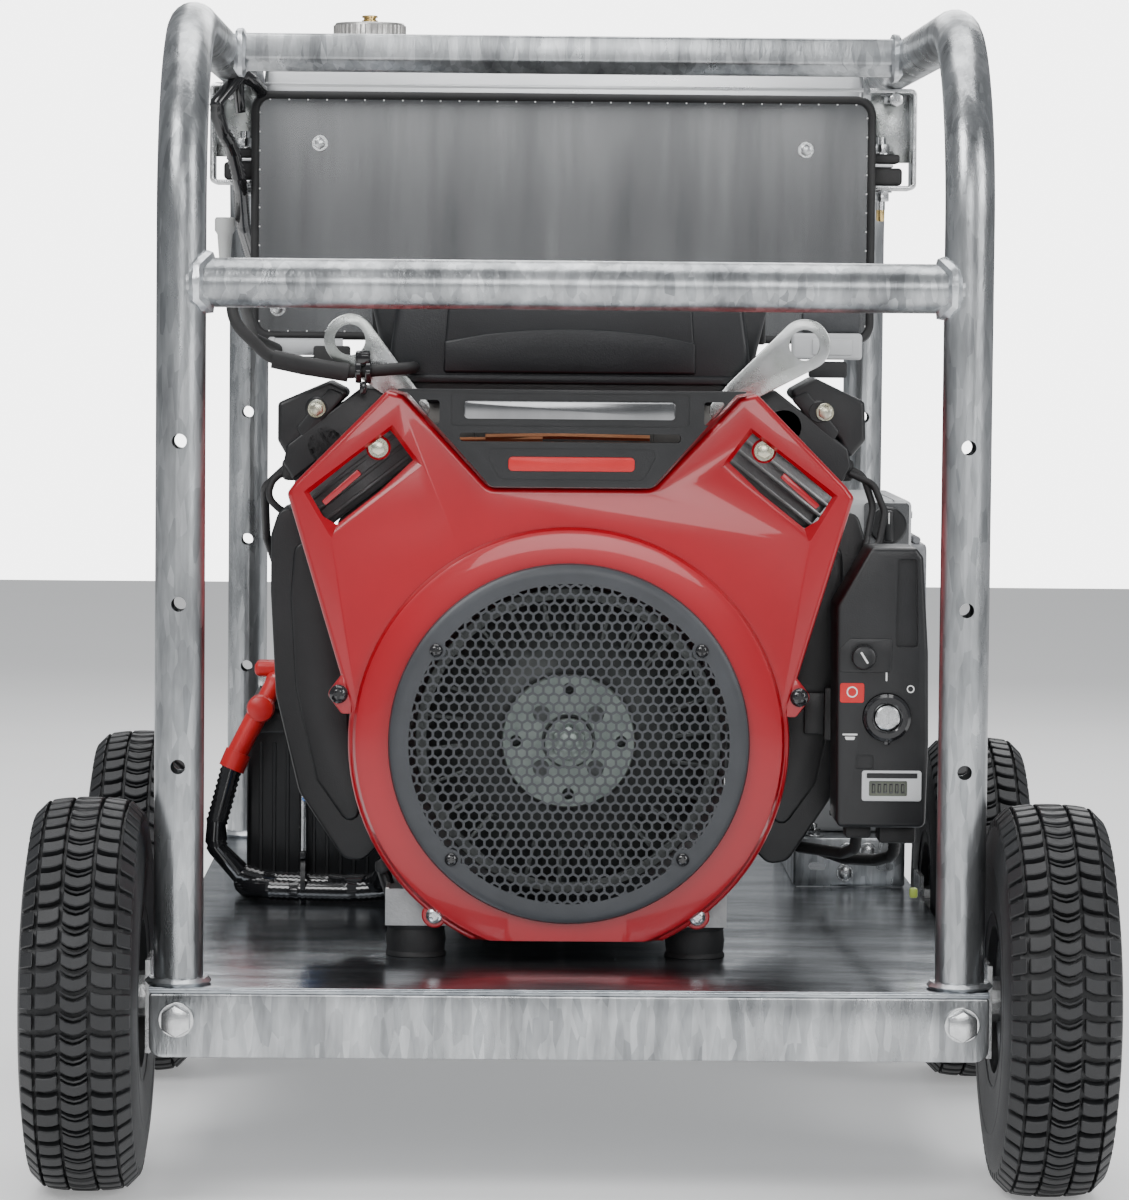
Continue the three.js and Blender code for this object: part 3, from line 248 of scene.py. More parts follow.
mid_plastic = finish("mid_plastic", "grey_plastic", (0.2, 0.205, 0.215), 0.4, 0.0, (0.27, 0.276, 0.288), 26,
                     0.5, 0.15, 800, dust=(0.3, 0.29, 0.28), dust_amount=0.15)
white_plastic = finish("white_plastic", "grey_plastic", (0.5, 0.51, 0.5), 0.35, 0.0, (0.62, 0.63, 0.62), 30,
                       0.5, 0.1, 700)
cast = finish("cast_aluminium", "cast_aluminium", (0.34, 0.345, 0.35), 0.46, 0.85, (0.5, 0.505, 0.51), 40,
              0.5, 0.5, 420, dust=(0.2, 0.19, 0.18), dust_amount=0.35)
silver_cast = finish("silver_cast", "cast_aluminium", (0.48, 0.47, 0.455), 0.36, 0.85, (0.66, 0.65, 0.63),
                     50, 0.5, 0.35, 380)
dark_cast = finish("dark_cast", "dark_aluminium", (0.05, 0.052, 0.056), 0.5, 0.6, (0.085, 0.088, 0.092), 40,
                   0.5, 0.5, 420, dust=(0.13, 0.125, 0.12), dust_amount=0.3)
fan_cast = finish("fan_cast", "dark_aluminium", (0.06, 0.066, 0.066), 0.4, 0.5, (0.12, 0.13, 0.128), 50, 0.5,
                  0.3, 420)
hub_steel = finish("hub_steel", "dark_aluminium", (0.2, 0.24, 0.225), 0.35, 0.85, (0.32, 0.36, 0.34), 70,
                   0.5, 0.2, 420)
dark_steel = finish("dark_steel", "dark_steel", (0.05, 0.048, 0.046), 0.55, 0.8, (0.1, 0.095, 0.09), 30, 0.5,
                    0.3, 300, dust=(0.16, 0.11, 0.08), dust_amount=0.3)
machined = finish("machined", "machined_steel", (0.42, 0.425, 0.43), 0.24, 1.0, (0.6, 0.605, 0.61), 30, 0.5,
                  0.12, 300, (6, 0.3, 6))
blue = finish("blue_enamel", "blue_enamel", (0.015, 0.12, 0.42), 0.25, 0.0, (0.03, 0.18, 0.52), 20, 0.6,
              0.05, 200, coat=0.8)
rubber = finish("black_rubber", "black_rubber", (0.009, 0.009, 0.0095), 0.6, 0.0, (0.018, 0.018, 0.019), 40,
                0.6, 0.3, 700, dust=(0.06, 0.058, 0.055), dust_amount=0.3)
tyre_rubber = finish("tyre_rubber", "tyre_rubber", (0.010, 0.0105, 0.0115), 0.5, 0.0, (0.02, 0.021, 0.023),
                     35, 0.6, 0.35, 800, rough_spread=0.1, dust=(0.045, 0.044, 0.043), dust_amount=0.35)
lcd = finish("lcd", "grey_plastic", (0.06, 0.07, 0.05), 0.3, 0.0, (0.1, 0.11, 0.075), 60, 0.5, 0.02, 300,
             coat=0.5)
red_plastic = finish("red_plastic", "red_enamel", (0.52, 0.01, 0.012), 0.36, 0.0, (0.62, 0.02, 0.02), 40,
                     0.5, 0.15, 700)
mark_white = finish("mark_white", "grey_plastic", (0.75, 0.75, 0.74), 0.45, 0.0, (0.84, 0.84, 0.83), 60, 0.5,
                    0.05, 500)
green_bit = finish("green_bit", "grey_plastic", (0.3, 0.42, 0.05), 0.4, 0.0, (0.42, 0.52, 0.1), 60, 0.5, 0.1,
                   500)
copper = finish("copper", "machined_steel", (0.5, 0.2, 0.1), 0.4, 0.8, (0.62, 0.3, 0.16), 60, 0.5, 0.2, 400)


# ---------------------------------------------------------------- making pieces
def only(piece):
    bpy.ops.object.select_all(action="DESELECT")
    piece.select_set(True)
    bpy.context.view_layer.objects.active = piece
    return piece


def open_mesh(piece):
    """Opens the mesh for editing with all of it selected."""
    only(piece)
    bpy.ops.object.mode_set(mode="EDIT")
    bpy.ops.mesh.select_all(action="SELECT")


def settle(piece, merge=0.00002, turn_out=True):
    """Places the piece in its mesh, closes its seams and turns its faces out."""
    only(piece)
    bpy.ops.object.transform_apply(location=True, rotation=True, scale=True)
    open_mesh(piece)
    bpy.ops.mesh.remove_doubles(threshold=merge)
    if turn_out:
        bpy.ops.mesh.normals_make_consistent(inside=False)
    bpy.ops.object.mode_set(mode="OBJECT")
    return piece


def bevelled(piece, width, segments=2, angle=35):
    only(piece)
    edge = piece.modifiers.new("edge", "BEVEL")
    edge.width = width / 1000
    edge.segments = segments
    edge.limit_method = "ANGLE"
    edge.angle_limit = math.radians(angle)
    edge.use_clamp_overlap = True
    bpy.ops.object.modifier_apply(modifier="edge")
    return piece


def smooth(piece, angle=40):
    only(piece)
    bpy.ops.object.shade_smooth_by_angle(angle=math.radians(angle))
    return piece


def joined(*pieces):
    only(pieces[0])
    for other in pieces[1:]:
        other.select_set(True)
    if len(pieces) > 1:
        bpy.ops.object.join()
    return bpy.context.view_layer.objects.active


def combine(piece, tool, operation="DIFFERENCE"):
    only(piece)
    cut = piece.modifiers.new("cut", "BOOLEAN")
    cut.operation = operation
    cut.object = tool
    cut.solver = "EXACT"
    bpy.ops.object.modifier_apply(modifier="cut")
    bpy.data.objects.remove(tool)
    return piece


def thickened(piece, wall, offset):
    """Gives a sheet its thickness, in metres; the offset says to which side it grows."""
    only(piece)
    sheet = piece.modifiers.new("sheet", "SOLIDIFY")
    sheet.thickness = wall
    sheet.offset = offset
    bpy.ops.object.modifier_apply(modifier="sheet")
    return piece


def copied(piece, turn_and_shift):
    twin = piece.copy()
    twin.data = piece.data.copy()
    bpy.context.scene.collection.objects.link(twin)
    twin.data.transform(turn_and_shift)
    return twin


def turned(piece, angle, axis, centre):
    spot = place(*centre)
    swing = Matrix.Rotation(angle, 4, axis)
    piece.data.transform(Matrix.Translation(spot) @ swing @ Matrix.Translation(-spot))
    return piece


AXES = {"X": Vector((1, 0, 0)), "Y": Vector((0, 1, 0)), "Z": Vector((0, 0, 1))}


def to_axis(a, b, along, axis):
    """A point of an outline that lies across an axis."""
    return {"X": (along, a, b), "Y": (a, along, b), "Z": (a, b, along)}[axis]


def plate(outline, start, depth, axis="Y", edge=0.0, segments=2):
    """An outline across an axis, extruded along it, with its edges rounded."""
    bpy.ops.object.select_all(action="DESELECT")
    bpy.ops.mesh.primitive_circle_add(vertices=len(outline), radius=0.1, fill_type="NGON")
    piece = bpy.context.active_object
    for vertex, (a, b) in zip(piece.data.vertices, outline):
        vertex.co = place(*to_axis(a, b, start, axis))
    open_mesh(piece)
    bpy.ops.mesh.extrude_region_move(TRANSFORM_OT_translate={"value": AXES[axis] * depth / 1000})
    bpy.ops.object.mode_set(mode="OBJECT")
    settle(piece)
    if edge:
        bevelled(piece, edge, segments)
    return smooth(piece)


def block(x0, x1, y0, y1, z0, z1, edge=1.0, segments=2):
    bpy.ops.object.select_all(action="DESELECT")
    middle = place((x0 + x1) / 2, (y0 + y1) / 2, (z0 + z1) / 2)
    bpy.ops.mesh.primitive_cube_add(size=1, location=middle)
    piece = bpy.context.active_object
    piece.scale = ((x1 - x0) / 1000, (y1 - y0) / 1000, (z1 - z0) / 1000)
    settle(piece)
    if edge:
        bevelled(piece, edge, segments)
    return smooth(piece)


def spun(profile, centre, axis="Y", steps=48):
    """A profile of (radius, along) points spun round an axis through the centre."""
    bpy.ops.object.select_all(action="DESELECT")
    bpy.ops.mesh.primitive_circle_add(vertices=len(profile), radius=0.1, fill_type="NOTHING")
    piece = bpy.context.active_object
    spot = place(*centre)
    outward = AXES["Z"] if axis != "Z" else AXES["X"]
    for vertex, (radius, along) in zip(piece.data.vertices, profile):
        vertex.co = spot + outward * radius / 1000 + AXES[axis] * along / 1000
    open_mesh(piece)
    bpy.ops.mesh.spin(steps=steps, angle=2 * math.pi, center=spot, axis=AXES[axis])
    bpy.ops.mesh.select_all(action="SELECT")
    bpy.ops.mesh.remove_doubles(threshold=0.00001)
    bpy.ops.mesh.dissolve_degenerate(threshold=0.000005)
    bpy.ops.mesh.delete_loose(use_verts=True, use_edges=True, use_faces=False)
    bpy.ops.object.mode_set(mode="OBJECT")
    return smooth(settle(piece, 0.00001), 35)


def ring_copies(piece, count, centre, axis="Y"):
    """The piece repeated evenly round an axis."""
    open_mesh(piece)
    turn = 2 * math.pi * (count - 1) / count
    bpy.ops.mesh.spin(steps=count - 1, angle=turn, dupli=True, center=place(*centre), axis=AXES[axis])
    bpy.ops.object.mode_set(mode="OBJECT")
    return piece


def row_copies(piece, count, step):
    only(piece)
    row = piece.modifiers.new("row", "ARRAY")
    row.count = count
    row.use_relative_offset = False
    row.use_constant_offset = True
    row.constant_offset_displace = Vector(step) / 1000
    bpy.ops.object.modifier_apply(modifier="row")
    return piece


def rounded(corners, radius, steps=8):
    """Points along straight runs with round bends between them."""
    points = [Vector(c) for c in corners]
    path = [points[0]]
    for i in range(1, len(points) - 1):
        into = (points[i] - points[i - 1]).normalized()
        out = (points[i + 1] - points[i]).normalized()
        turn = into.angle(out)
        if turn < 0.02:
            path.append(points[i])
            continue
        reach = min((points[i] - points[i - 1]).length, (points[i + 1] - points[i]).length) * 0.49
        bend = min(radius, reach / math.tan(turn / 2))
        start = points[i] - into * bend * math.tan(turn / 2)
        side = (out - into * out.dot(into)).normalized()
        for k in range(steps + 1):
            angle = turn * k / steps
            path.append(start + into * bend * math.sin(angle) + side * bend * (1 - math.cos(angle)))
    path.append(points[-1])
    return path


def tube(corners, radius, bend=10, sides=16, closed=False, steps=8, ribs=0, rib_deep=0.82, caps=True):
    """A round tube along a path; ribs gives it the rings of a corrugated hose."""
    path = rounded(corners, bend, steps) if not closed else [Vector(c) for c in corners]
    radii = [1.0] * len(path)
    if ribs:
        even, left = [path[0]], 0.0
        for a, b in zip(path, path[1:]):
            span = (b - a).length
            spot = left
            while spot + ribs <= span + left:
                spot += ribs
                t = (spot - left) / span
                if t <= 1:
                    even.append(a.lerp(b, t))
            left = (left + span) % ribs if span else left
        path = even
        radii = [1.0 if i % 2 else rib_deep for i in range(len(path))]
    data = bpy.data.curves.new("path", "CURVE")
    data.dimensions = "3D"
    data.bevel_depth = radius / 1000
    data.bevel_resolution = max(0, sides // 4 - 1)
    data.use_fill_caps = caps and not closed
    line = data.splines.new("POLY")
    line.points.add(len(path) - 1)
    for point, spot, wide in zip(line.points, path, radii):
        point.co = (*place(*spot), 1)
        point.radius = wide
    line.use_cyclic_u = closed
    piece = bpy.data.objects.new("path", data)
    bpy.context.scene.collection.objects.link(piece)
    only(piece)
    bpy.ops.object.convert(target="MESH")
    return smooth(settle(bpy.context.active_object), 50 if not ribs else 80)


def arc(x, z, radius, start, end, steps):
    step = (end - start) / steps
    angles = [math.radians(start + i * step) for i in range(steps + 1)]
    return [(x + radius * math.cos(a), z + radius * math.sin(a)) for a in angles]


def rounded_outline(points, radius, steps=4):
    """A closed outline with its corners rounded; radius may be one number or one for each corner."""
    count = len(points)
    radii = radius if isinstance(radius, (list, tuple)) else [radius] * count
    found = []
    for i, (corner, wide) in enumerate(zip(points, radii)):
        here = Vector(corner)
        back = (Vector(points[i - 1]) - here)
        on = (Vector(points[(i + 1) % count]) - here)
        turn = back.angle(on)
        if wide <= 0 or abs(turn - math.pi) < 0.02:
            found.append(tuple(here))
            continue
        reach = min(wide / math.tan(turn / 2), back.length * 0.49, on.length * 0.49)
        bend = reach * math.tan(turn / 2)
        middle = here + (back.normalized() + on.normalized()).normalized() * bend / math.sin(turn / 2)
        first = here + back.normalized() * reach - middle
        last = here + on.normalized() * reach - middle
        swing = first.angle_signed(last)
        for k in range(steps + 1):
            angle = -swing * k / steps
            found.append(tuple(middle + Matrix.Rotation(angle, 2) @ first))
    return found


def sided(points, sign):
    """An outline drawn for the right (+1), or turned over for the left (-1)."""
    return [(sign * a, b) for a, b in points]


def rectangle(a0, a1, b0, b1, radius, steps=4):
    return rounded_outline([(a0, b0), (a1, b0), (a1, b1), (a0, b1)], radius, steps)


def disc(radius, start, depth, centre, axis="Y", edge=0.6, steps=32, bore=0):
    """A round disc with broken edges, solid or with a bore."""
    e = edge
    profile = [(bore, start), (radius - e, start), (radius, start + e), (radius, start + depth - e),
               (radius - e, start + depth), (bore, start + depth)]
    return spun(profile, centre, axis, steps)


def hex_bolt(centre, axis="Y", sign=-1, across=13, tall=6, washer=9, thick=1.8, thread=0):
    """A hex head with its chamfer on a washer; it stands out from the centre point."""
    def flat(a, b):
        return (a, b) if sign > 0 else (b, a)

    parts = []
    if washer:
        lo, hi = flat(0, sign * thick)
        parts.append(disc(washer, lo, hi - lo, centre, axis, 0.35, 24))
    bpy.ops.object.select_all(action="DESELECT")
    turn = {"X": (0, math.pi / 2, 0), "Y": (math.pi / 2, 0, 0), "Z": (0, 0, 0)}[axis]
    start = thick if washer else 0
    spot = place(*centre) + AXES[axis] * sign * (start + tall / 2) / 1000
    bpy.ops.mesh.primitive_cylinder_add(vertices=6, radius=across / 1732, depth=tall / 1000, location=spot,
                                        rotation=turn)
    head = bevelled(settle(bpy.context.active_object), across * 0.06, 2, 50)
    parts.append(smooth(head, 30))
    if thread:
        lo, hi = flat(sign * (start + tall), sign * (start + tall + thread))
        parts.append(disc(across * 0.3, lo, hi - lo, centre, axis, 0.6, 16))
    return joined(*parts)


def pan_screw(centre, axis="Y", sign=-1, radius=6, tall=3.5):
    """A domed cross-head screw."""
    dome = [(0, 0), (radius, 0), (radius, sign * tall * 0.35), (radius * 0.8, sign * tall * 0.75),
            (radius * 0.45, sign * tall), (0, sign * tall)]
    head = spun(dome, centre, axis, 20)
    x, y, z = centre
    y += sign * tall
    long, wide = radius * 0.55, radius * 0.15
    corner = [(wide, wide), (wide, long), (-wide, long), (-wide, wide), (-long, wide), (-long, -wide),
              (-wide, -wide), (-wide, -long), (wide, -long), (wide, -wide), (long, -wide), (long, wide)]
    cross = plate([(x + a, z + b) for a, b in corner], y - 1.3, 2.6, axis)
    return smooth(combine(head, cross), 30)


def bead(path, radius, lumps=0.25, pitch=0.9, closed=True, sides=10):
    """A weld bead along a path, with its ripples."""
    piece = tube(path, radius, closed=closed, sides=sides, bend=1)
    for vertex in piece.data.vertices:
        spot = vertex.co * 1000
        wave = math.sin(spot.x * pitch + 1.3) + math.sin(spot.y * pitch * 1.1)
        wave += math.sin(spot.z * pitch * 1.2 + 0.6)
        vertex.co += vertex.normal * wave * lumps / 1000
    return smooth(piece, 60)


def made(piece, name, finish_used, replaces=(), body="frame", slot=None):
    """Names a finished piece, gives it its finish and lets it ride on a body."""
    slot = slot or SLOTS[finish_used.name]
    piece.name = name
    piece.data.name = name
    piece.data.materials.clear()
    piece.data.materials.append(finish_used)
    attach(piece, body)
    if replaces:
        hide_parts(*replaces)
    return piece


def ring_points(centre, radius, axis="Z", count=32):
    points = []
    for a, b in arc(0, 0, radius, 0, 360, count)[:-1]:
        offset = to_axis(a, b, 0, axis)
        points.append(tuple(c + o for c, o in zip(centre, offset)))
    return points


SIDES = (("left", -1), ("right", 1))
FRAME_LENGTH = 931
MID_RAIL = 618.5
CHANNEL_FOOT = 96.9
TOP_TUBE = 797.15
DECK = 144.5


# ---------------------------------------------------------------- trolley frame
def make_hoops():
    for side, sign in SIDES:
        x = sign * LEG_X
        corners = [(x, 0, DECK + 0.3), (x, 0, TOP_TUBE), (x, FRAME_LENGTH, TOP_TUBE),
                   (x, FRAME_LENGTH, DECK + 0.3)]
        hoop = thickened(tube(corners, TUBE, 135, 40, steps=20, caps=False), 0.0029, -1)
        drills = []
        for y in (0, FRAME_LENGTH):
            for i in range(3):
                drills.append(disc(5, -30, 60, (x, y, 293 + 109.5 * i), "Y", 0.1, 20))
        hoop = combine(hoop, joined(*drills))
        made(smooth(hoop, 40), f"{side}_hoop_tube", galvanised, [f"{side}_hoop"])
        beads = []
        for y in (0, FRAME_LENGTH):
            beads.append(bead(ring_points((x, y, DECK + 2.2), TUBE + 1.6), 3.4, 0.45))
            loop = []
            for a, b in arc(0, 0, TUBE, 0, 360, 32)[:-1]:
                reach = math.sqrt(max(TUBE ** 2 - a * a, 90))
                loop.append((x - sign * (reach + 1.4), y + a * 1.02, MID_RAIL + b * 1.06))
            beads.append(bead(loop, 4.2, 0.5))
        made(joined(*beads), f"{side}_hoop_welds", weld_zinc)


def make_rails():
    for name, y in (("front_mid_rail", 0), ("rear_mid_rail", FRAME_LENGTH)):
        rail = tube([(-LEG_X + 4, y, MID_RAIL), (LEG_X - 4, y, MID_RAIL)], TUBE, 1, 40)
        made(rail, f"{name}_tube", galvanised, [name])
    half, low, high, cut = 14, 779.4, 807.4, 9
    section = [(405 - half + cut, low), (405 + half - cut, low), (405 + half, low + cut), (405 + half, high),
               (405 - half, high), (405 - half, low + cut)]
    rail = plate(section, -LEG_X + 14, 2 * LEG_X - 28, "X", 2, 3)
    made(rail, "top_rail_bar", galvanised, ["top_front_rail"])
    beads = []
    for sign in (-1, 1):
        end = sign * (LEG_X - TUBE - 1.5)
        outline = [(end, y, z) for y, z in rectangle(390, 420, 779, 808, 5)]
        beads.append(bead(outline, 3.6, 0.5))
    made(joined(*beads), "top_rail_welds", weld_zinc)


def make_deck():
    edge, front, back = 283.5, -21, 952
    section = rounded_outline([(front, DECK - 4), (back, DECK - 4), (back, DECK), (front, DECK)],
                              [0.4, 0.4, 3.2, 3.2], 5)
    sheet = plate(section, -edge, 2 * edge, "X")
    folds = []
    low = CHANNEL_FOOT
    for sign in (-1, 1):
        e = sign * edge
        fold = [(e, DECK - 2), (e, low), (e - sign * 34, low), (e - sign * 34, low + 4),
                (e - sign * 4, low + 4), (e - sign * 4, DECK - 2)]
        folds.append(plate(fold, front + 34.3, back - front - 68.6, "Y", 0.8))
    made(joined(sheet, *folds), "deck_tray", deck_zinc, ["deck_plate"])

    for name, face, sign in (("front_beam", front, 1), ("rear_beam", back, -1)):
        top, bottom = DECK - 4.3, CHANNEL_FOOT
        outline = rounded_outline([(-edge, bottom), (edge, bottom), (edge, top), (-edge, top)], [9, 9, 2, 2],
                                  5)
        start = face if sign > 0 else face - 4
        web = plate(outline, start, 4, "Y", 1.1)
        flanges = []
        for z in (bottom, top - 4):
            y0, y1 = sorted((face + sign * 1.5, face + sign * 34))
            flanges.append(block(-edge + 6, edge - 6, y0, y1, z, z + 4, 0.8))
        made(joined(web, *flanges), f"{name}_channel", galvanised, [name])
        seam = bead([(x, face + sign * 2.6, DECK - 4) for x in range(-281, 282, 6)], 1.6, 0.3, closed=False)
        made(seam, f"{name}_seam", weld_zinc)
    bolts = [hex_bolt((sign * LEG_X, front, 122.5), "Y", -1, 19, 8, 12, 2.2, 0) for sign in (-1, 1)]
    made(joined(*bolts), "front_beam_bolts", zinc_bolt)


# ---------------------------------------------------------------- wheels
WHEEL_X, WHEEL_RADIUS = 327, 134
FRONT_AXLE, REAR_AXLE = 23, 549
TREAD_COUNT = 58


def crown(x):
    """Outer radius of the tread at a distance across the tyre."""
    return WHEEL_RADIUS - 2.1 * (x / 26) ** 2 if abs(x) < 28 else 131.6 - 9 * ((abs(x) - 28) / 8.5) ** 1.6


def tread_block(points, floor_drop=5.0):
    """One block of rubber on the crown, from an outline of (across, along) points."""
    piece = plate(points, 120, 20, "Z")
    for vertex in piece.data.vertices:
        spot = vertex.co * 1000
        top = crown(spot.x) - (spot.y - LEG_PLANE) ** 2 / (2 * WHEEL_RADIUS)
        vertex.co.z = (top if spot.z > 130 else top - floor_drop - 2) / 1000
    return bevelled(piece, 0.7, 1, 40)


def centred(piece):
    """Moves a piece made at the leg plane to the origin."""
    piece.data.transform(Matrix.Translation(-place(0, 0, 0)))
    return piece


def make_tyre():
    """The front left tyre about the origin, its axle along X."""
    body = [(50.3, -29), (50.3, -36), (72, -38.2), (97, -39.4), (104, -39.2), (112, -38), (118, -36.4),
            (124.3, -31), (127, -20), (128.2, 0), (127, 20), (124.3, 31), (118, 36.4), (112, 38),
            (104, 39.2), (97, 39.4), (72, 38.2), (50.3, 36), (50.3, 29), (103, 30), (117, 22), (117, -22),
            (103, -30)]
    shell = spun(body, (0, 0, 0), "X", 96)
    beads = []
    for radius in (60, 66, 92):
        for side in (-1, 1):
            x = side * (37.2 if radius < 70 else 39.0)
            beads.append(spun([(radius - 1, x), (radius, x + side * 0.45), (radius + 1, x),
                               (radius, x - side * 0.6)], (0, 0, 0), "X", 96))
    blocks = []
    for side in (-1, 1):
        shoulder = [(27.5, -5.2), (36.4, -4.9), (36.4, 4.9), (27.5, 5.2)]
        lug = [(11, -1.4), (15, -3.6), (19.5, -4.6), (25.4, -4.4), (25.4, 5.4), (19.5, 5.2), (15, 6.0),
               (11, 7.8)]
        blocks.append(tread_block(sided(shoulder, side), 7))
        blocks.append(tread_block(sided(lug, side)))
    blocks.append(tread_block([(-9, -3.4), (-4.5, -6.2), (0, -7.2), (4.5, -6.2), (9, -3.4), (9, 4.6),
                               (4.5, 1.6), (0, 0.4), (-4.5, 1.6), (-9, 4.6)]))
    blocks.append(tread_block([(-9, 6.6), (-4.5, 3.6), (0, 2.4), (4.5, 3.6), (9, 6.6), (9, 8.2), (4.5, 5.2),
                               (0, 4.0), (-4.5, 5.2), (-9, 8.2)], 3))
    treads = ring_copies(joined(*blocks), TREAD_COUNT, (0, 0, 0), "X")
    return centred(smooth(joined(shell, *beads, treads), 32))


def make_rim():
    """A pressed steel rim about the origin, its outer face towards +X."""
    shell = spun([(46.8, -29.5), (50, -29.9), (50, -24), (44.5, -19), (44.5, 12), (50, 22), (50, 29.9),
                  (46.8, 29.5), (41.8, 13), (41.8, 4.5), (36, 1.5), (24, 1.2), (18, 6), (18, 29.5),
                  (12.5, 29.9), (10.5, 29.5), (10.5, -29.5), (12.5, -29.9), (18, -29.5), (18, -6),
                  (24, -1.6), (36, -1.6), (41.8, -16)], (0, 0, 0), "X", 64)
    drills = ring_copies(disc(4.2, -20, 40, (0, 0, 29.5), "X", 0.2, 16), 4, (0, 0, 0), "X")
    shell = smooth(combine(shell, drills), 35)
    nut = hex_bolt((1.2, 0, 24), "X", 1, 8, 4, 6, 1, 3)
    turned(nut, math.radians(45), "X", (0, 0, 0))
    nuts = ring_copies(nut, 4, (0, 0, 0), "X")
    valve = disc(3, 0, 15, (8, 0, 38), "X", 0.8, 14)
    return centred(joined(shell, nuts, valve))


def make_wheels():
    tyre, rim = make_tyre(), make_rim()
    for place_name, y in (("front", FRONT_AXLE), ("rear", REAR_AXLE)):
        for side, sign in SIDES:
            name = f"{place_name}_{side}"
            spot = Matrix.Translation(place(sign * WHEEL_X, y, WHEEL_RADIUS))
            one = copied(tyre, spot @ Matrix.Rotation(0.035 * (y % 7), 4, "X"))
            made(one, f"{name}_tread", tyre_rubber, [f"{name}_tyre"], body=f"{name}_wheel")
            two = copied(rim, spot @ Matrix.Rotation(0 if sign > 0 else math.pi, 4, "Z"))
            made(two, f"{name}_disc", galvanised, [f"{name}_rim"], body=f"{name}_wheel")
            base = frame["nodes"][f"{name}_axle"]
            base.data.materials.clear()
            base.data.materials.append(zinc_bolt)
    bpy.data.objects.remove(tyre)
    bpy.data.objects.remove(rim)


# ---------------------------------------------------------------- red fan shroud and its grille
TIP, SHOULDER, NOTCH = (126, 245), (198, 181), (57, 178)


def shroud_outline():
    ring, waist = 154.5, 12
    foot = math.degrees(math.asin(139.1 / ring))
    right = arc(0, 0, ring, -foot, waist, 22)
    corners = [(SHOULDER[0], SHOULDER[1] - 8), (SHOULDER[0] - 6, SHOULDER[1]), (TIP[0] + 3, TIP[1]),
               (TIP[0] - 9, TIP[1] - 3), NOTCH]
    right_corners = rounded_outline([right[-1], *corners, (0, NOTCH[1])], [0, 5, 5, 4, 4, 10, 0], 4)[1:-1]
    half = [*right[:-1], *right_corners]
    half = [(x, CRANK_Z + z) for x, z in half]
    return [*half, *[(-x, z) for x, z in reversed(half)]]


def tapered(mouth, floor, start, depth):
    """A cutter whose outline narrows from its mouth to its floor, both given as (x, z) corners."""
    piece = plate(mouth, start, depth, "Y")
    far = [place(x, start + depth, z) for x, z in mouth]
    back = [place(x, start + depth, z) for x, z in floor]
    lead = [place(x + (x - u) * 0.15, start, z + (z - w) * 0.15) for (x, z), (u, w) in zip(mouth, floor)]
    near = [place(x, start, z) for x, z in mouth]
    for vertex in piece.data.vertices:
        for old, new in zip(far + near, back + lead):
            if (vertex.co - old).length < 1e-5:
                vertex.co = new
                break
    return piece


def make_shroud():
    outline = shroud_outline()
    body = plate(outline, 111, 94, "Y", 5.5, 4)
    room = plate([(x * 0.975, CRANK_Z + (z - CRANK_Z) * 0.975) for x, z in outline], 115, 120, "Y")
    body = combine(body, room)
    face = spun([(0, 105), (145, 105), (149, 106.3), (151, 109.5), (151.5, 113), (151.5, 116), (0, 116)],
                CRANK, "Y", 96)
    foot_cut = block(-200, 200, 60, 240, 40, 161.2, 0)
    face = combine(face, foot_cut)
    body = combine(body, face, "UNION")
    hole = spun([(0, 90), (119, 90), (119, 108.5), (116, 111), (116, 130), (0, 130)], CRANK, "Y", 96)
    body = combine(body, hole)
    for sign in (-1, 1):
        mouth = sided([(125, 521), (104, 493), (166, 443), (186, 474)], sign)
        floor = sided([(128, 513), (118, 501), (160, 461), (178, 472)], sign)
        body = combine(body, tapered(mouth, floor, 110, 9.5))
        slot = sided([(176.4, 473), (145, 497), (136.5, 489), (164.5, 464)], sign)
        body = combine(body, plate(rounded_outline(slot, 2), 100, 40, "Y"))
    skirt = block(-250, 250, 134.5, 260, 100, 210, 0)
    body = combine(body, skirt)
    tabs = []
    for sign in (-1, 1):
        x = sign * 161
        tab = rounded_outline([(x + sign * 8.5, 333), (x - sign * 2, 347), (x - sign * 9, 347),
                               (x - sign * 9, 319), (x - sign * 2, 319)], [5, 3, 0, 0, 3])
        tabs.append(plate(tab, 112, 6, "Y", 1))
    for x in (-93, 91):
        tabs.append(disc(9, 113, 8, (x, 0, 178), "Y", 1, 28))
    body = joined(body, *tabs)
    made(smooth(settle(body, 0.00001, False), 38), "shroud_shell", red, ["fan_shroud"])

    ribs = []
    for sign in (-1, 1):
        rib = sided([(174, 467.5), (149, 490), (146, 486.5), (171, 464.5)], sign)
        ribs.append(plate(rounded_outline(rib, 1), 113.5, 9, "Y", 0.9))
        ribs.append(disc(8.6, 116.6, 6, (sign * 134.6, 0, 505), "Y", 1.2, 28))
    made(joined(*ribs), "shroud_ribs", red)
    bolts = [hex_bolt((sign * 134.6, 116.6, 505), "Y", -1, 9, 4, 7.2, 1.6) for sign in (-1, 1)]
    made(joined(*bolts), "shroud_bolts", yellow_zinc)
    screws = [pan_screw((sign * 161, 112, 333), "Y", -1, 6.6, 5) for sign in (-1, 1)]
    screws += [pan_screw((sign * x, 97.5, z), "Y", -1, 4.6, 3) for sign, x, z in
               ((-1, 93, 365), (1, 92, 366), (-1, 81.5, 219), (1, 80, 220))]
    made(joined(*screws), "shroud_screws", gloss_black)
    low = [pan_screw((x, 113, 178), "Y", -1, 6, 3.4) for x in (-93, 91)]
    made(joined(*low), "shroud_low_screws", zinc_bolt)


